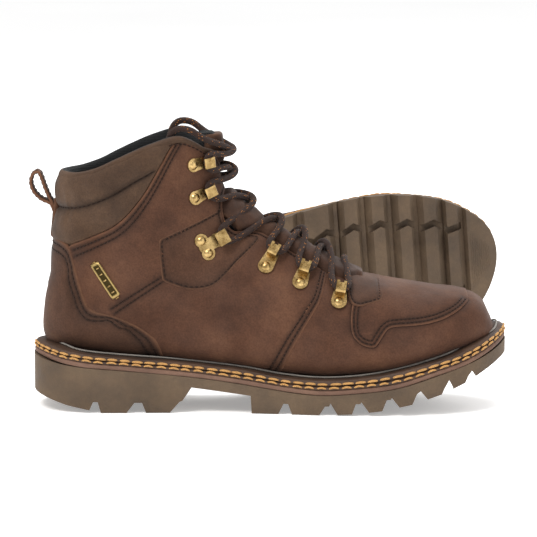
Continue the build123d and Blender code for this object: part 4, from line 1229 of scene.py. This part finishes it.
for y in (-5.0, 5.0):
    for k in range(2, len(loop_path) - 4, 3):
        pos, way = (sample(LOOP_SHARES, range(4), line[k:k + 4]) for line in (loop_path, loop_out))
        pos = np.stack([pos[:, 0], np.full(5, y), pos[:, 1]], 1)
        way = np.stack([way[:, 0], np.zeros(5), way[:, 1]], 1)
        for face in (1, -1):
            rise = np.array([0.5, 0.85, 0.95, 0.95, 0.85])[:, None] * face
            add_tube("loop", pos + way * rise, way * face, np.array([0.25, 0.38, 0.4, 0.38, 0.25]))
add_group("loop", "pull_strap_stitches", SEAM_THREAD, "loop_body")

badge_ring = to_domain(resample(np.array(BADGE + BADGE[:1], float), 0.8)[:-1], -1)
badge_middle = badge_ring.mean(axis=0)
badge_long = unit(to_domain([(-26, 74.2)], -1)[0] - to_domain([(-39.9, 95.5)], -1)[0])
badge_wide = np.array([-badge_long[1], badge_long[0]])


def badge_shape(uv, pts, d):
    """A rim round a sunk field."""
    return -0.45 / (1 + np.exp(-(d - 1.0) / 0.09))


panel("badge_plate", badge_ring, BRASS_DARK, base=0.9, thick=1.0, under=1.6, extra=badge_shape,
      nodes=("badge",), step=0.45, edge=0.4, wrinkle=0.0)
for k in range(-3, 4):
    across = badge_middle + badge_long * 2.9 * k + badge_wide * np.linspace(-1.15, 1.15, 7)[:, None]
    spots, out = surface(across, 1.5)
    add_tube("bars", spots, out, np.array([0.2, 0.4, 0.45, 0.45, 0.45, 0.4, 0.2]), 8)
add_group("bars", "badge_bars", BRASS)

HEEL_MARK = [(6.5 * math.cos(a), 3.6 * math.sin(a)) for a in np.linspace(0, 2 * math.pi, 40, endpoint=False)]
mark_v = to_domain([(-76, 88)], 1, True)[0, 0]
mark_ring = np.array([(mark_v + a, b) for a, b in HEEL_MARK])
panel("heel_reflector", mark_ring, REFLECTIVE, back=True, base=0.9, thick=0.5, wrinkle=0.0, step=1.4,
      edge=0.5)

# ---- footbed and toe ribs
BED_RISE, BED_THICK = 16.0, 4.6
bed_ring = plan + inward * (gap_to_upper + 8.5)[:, None]
bed_plan, bed_faces, bed_edge = mesh_region(bed_ring, step=3.5)
bed_gap = distance_to(bed_plan, bed_edge)
bed_high = curve_height(SOLE_TOP, bed_plan[:, 0]) + BED_RISE + 2.0 * np.exp(-bed_gap / 7)
bed_high += 0.25 * noise(np.c_[bed_plan, 0 * bed_gap], 24, 1) - 0.5 * (1 - np.clip(bed_gap / 0.8, 0, 1))
bed_up = np.c_[bed_plan, bed_high]
bed_low = np.c_[bed_plan, bed_high - BED_THICK]
straight_up = np.tile([0, 0, 1.0], (len(bed_up), 1))
verts, faces = closed_shell(bed_up, bed_low, bed_faces, facing(bed_up, bed_faces, straight_up))
add_piece("footbed_pad", verts, faces, BED_CLOTH, "boot", ("footbed",),
          uvs=np.vstack([bed_plan] * 2) * 0.01)

(toe_x, toe_z), (far_x, far_z) = GROUND_LINE[-2:]
toe_slope = (far_z - toe_z) / (far_x - toe_x)
for x in np.arange(205.5, 218.5, 1.6):
    reach = np.interp(x, [204, 210, 216, 220], [24, 19, 12, 6])
    y = np.linspace(-reach, reach * 0.8, 9)
    down = np.array([toe_slope, 0, -1.0]) / math.hypot(toe_slope, 1)
    spots = np.c_[np.full(9, x), y - 1.5, np.full(9, toe_z + (x - toe_x) * toe_slope)] + down * -0.1
    add_tube("toe", spots, np.tile(down, (9, 1)), np.array([0.2, 0.45] + [0.5] * 5 + [0.45, 0.2]), 8)
add_group("toe", "toe_tread_ribs", OUTSOLE_RUBBER)

# ---- CAD pieces that stay, and the end
KEPT = {"outsole": OUTSOLE_RUBBER, "shank": STEEL, "insole_board": BOARD_FIBRE,
        "toe_puff": BOARD_FIBRE, "heel_stiffener": BOARD_FIBRE, "speed_hooks": BRASS, "locking_hooks": BRASS,
        "d_rings": BRASS, "rivets": BRASS}
BEVELLED = {"outsole": 0.6, "speed_hooks": 0.6, "locking_hooks": 0.6, "d_rings": 0.5}
for name, paint in KEPT.items():
    for side in ("right", "left"):
        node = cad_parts[f"{side}_{name}"]
        node.data.materials.clear()
        node.data.materials.append(paint)
        if name in BEVELLED:
            round_off = node.modifiers.new("round_off", "BEVEL")
            round_off.width, round_off.segments = BEVELLED[name] * MM, 3
            round_off.limit_method, round_off.angle_limit = "ANGLE", math.radians(35)
            round_off.use_clamp_overlap = True
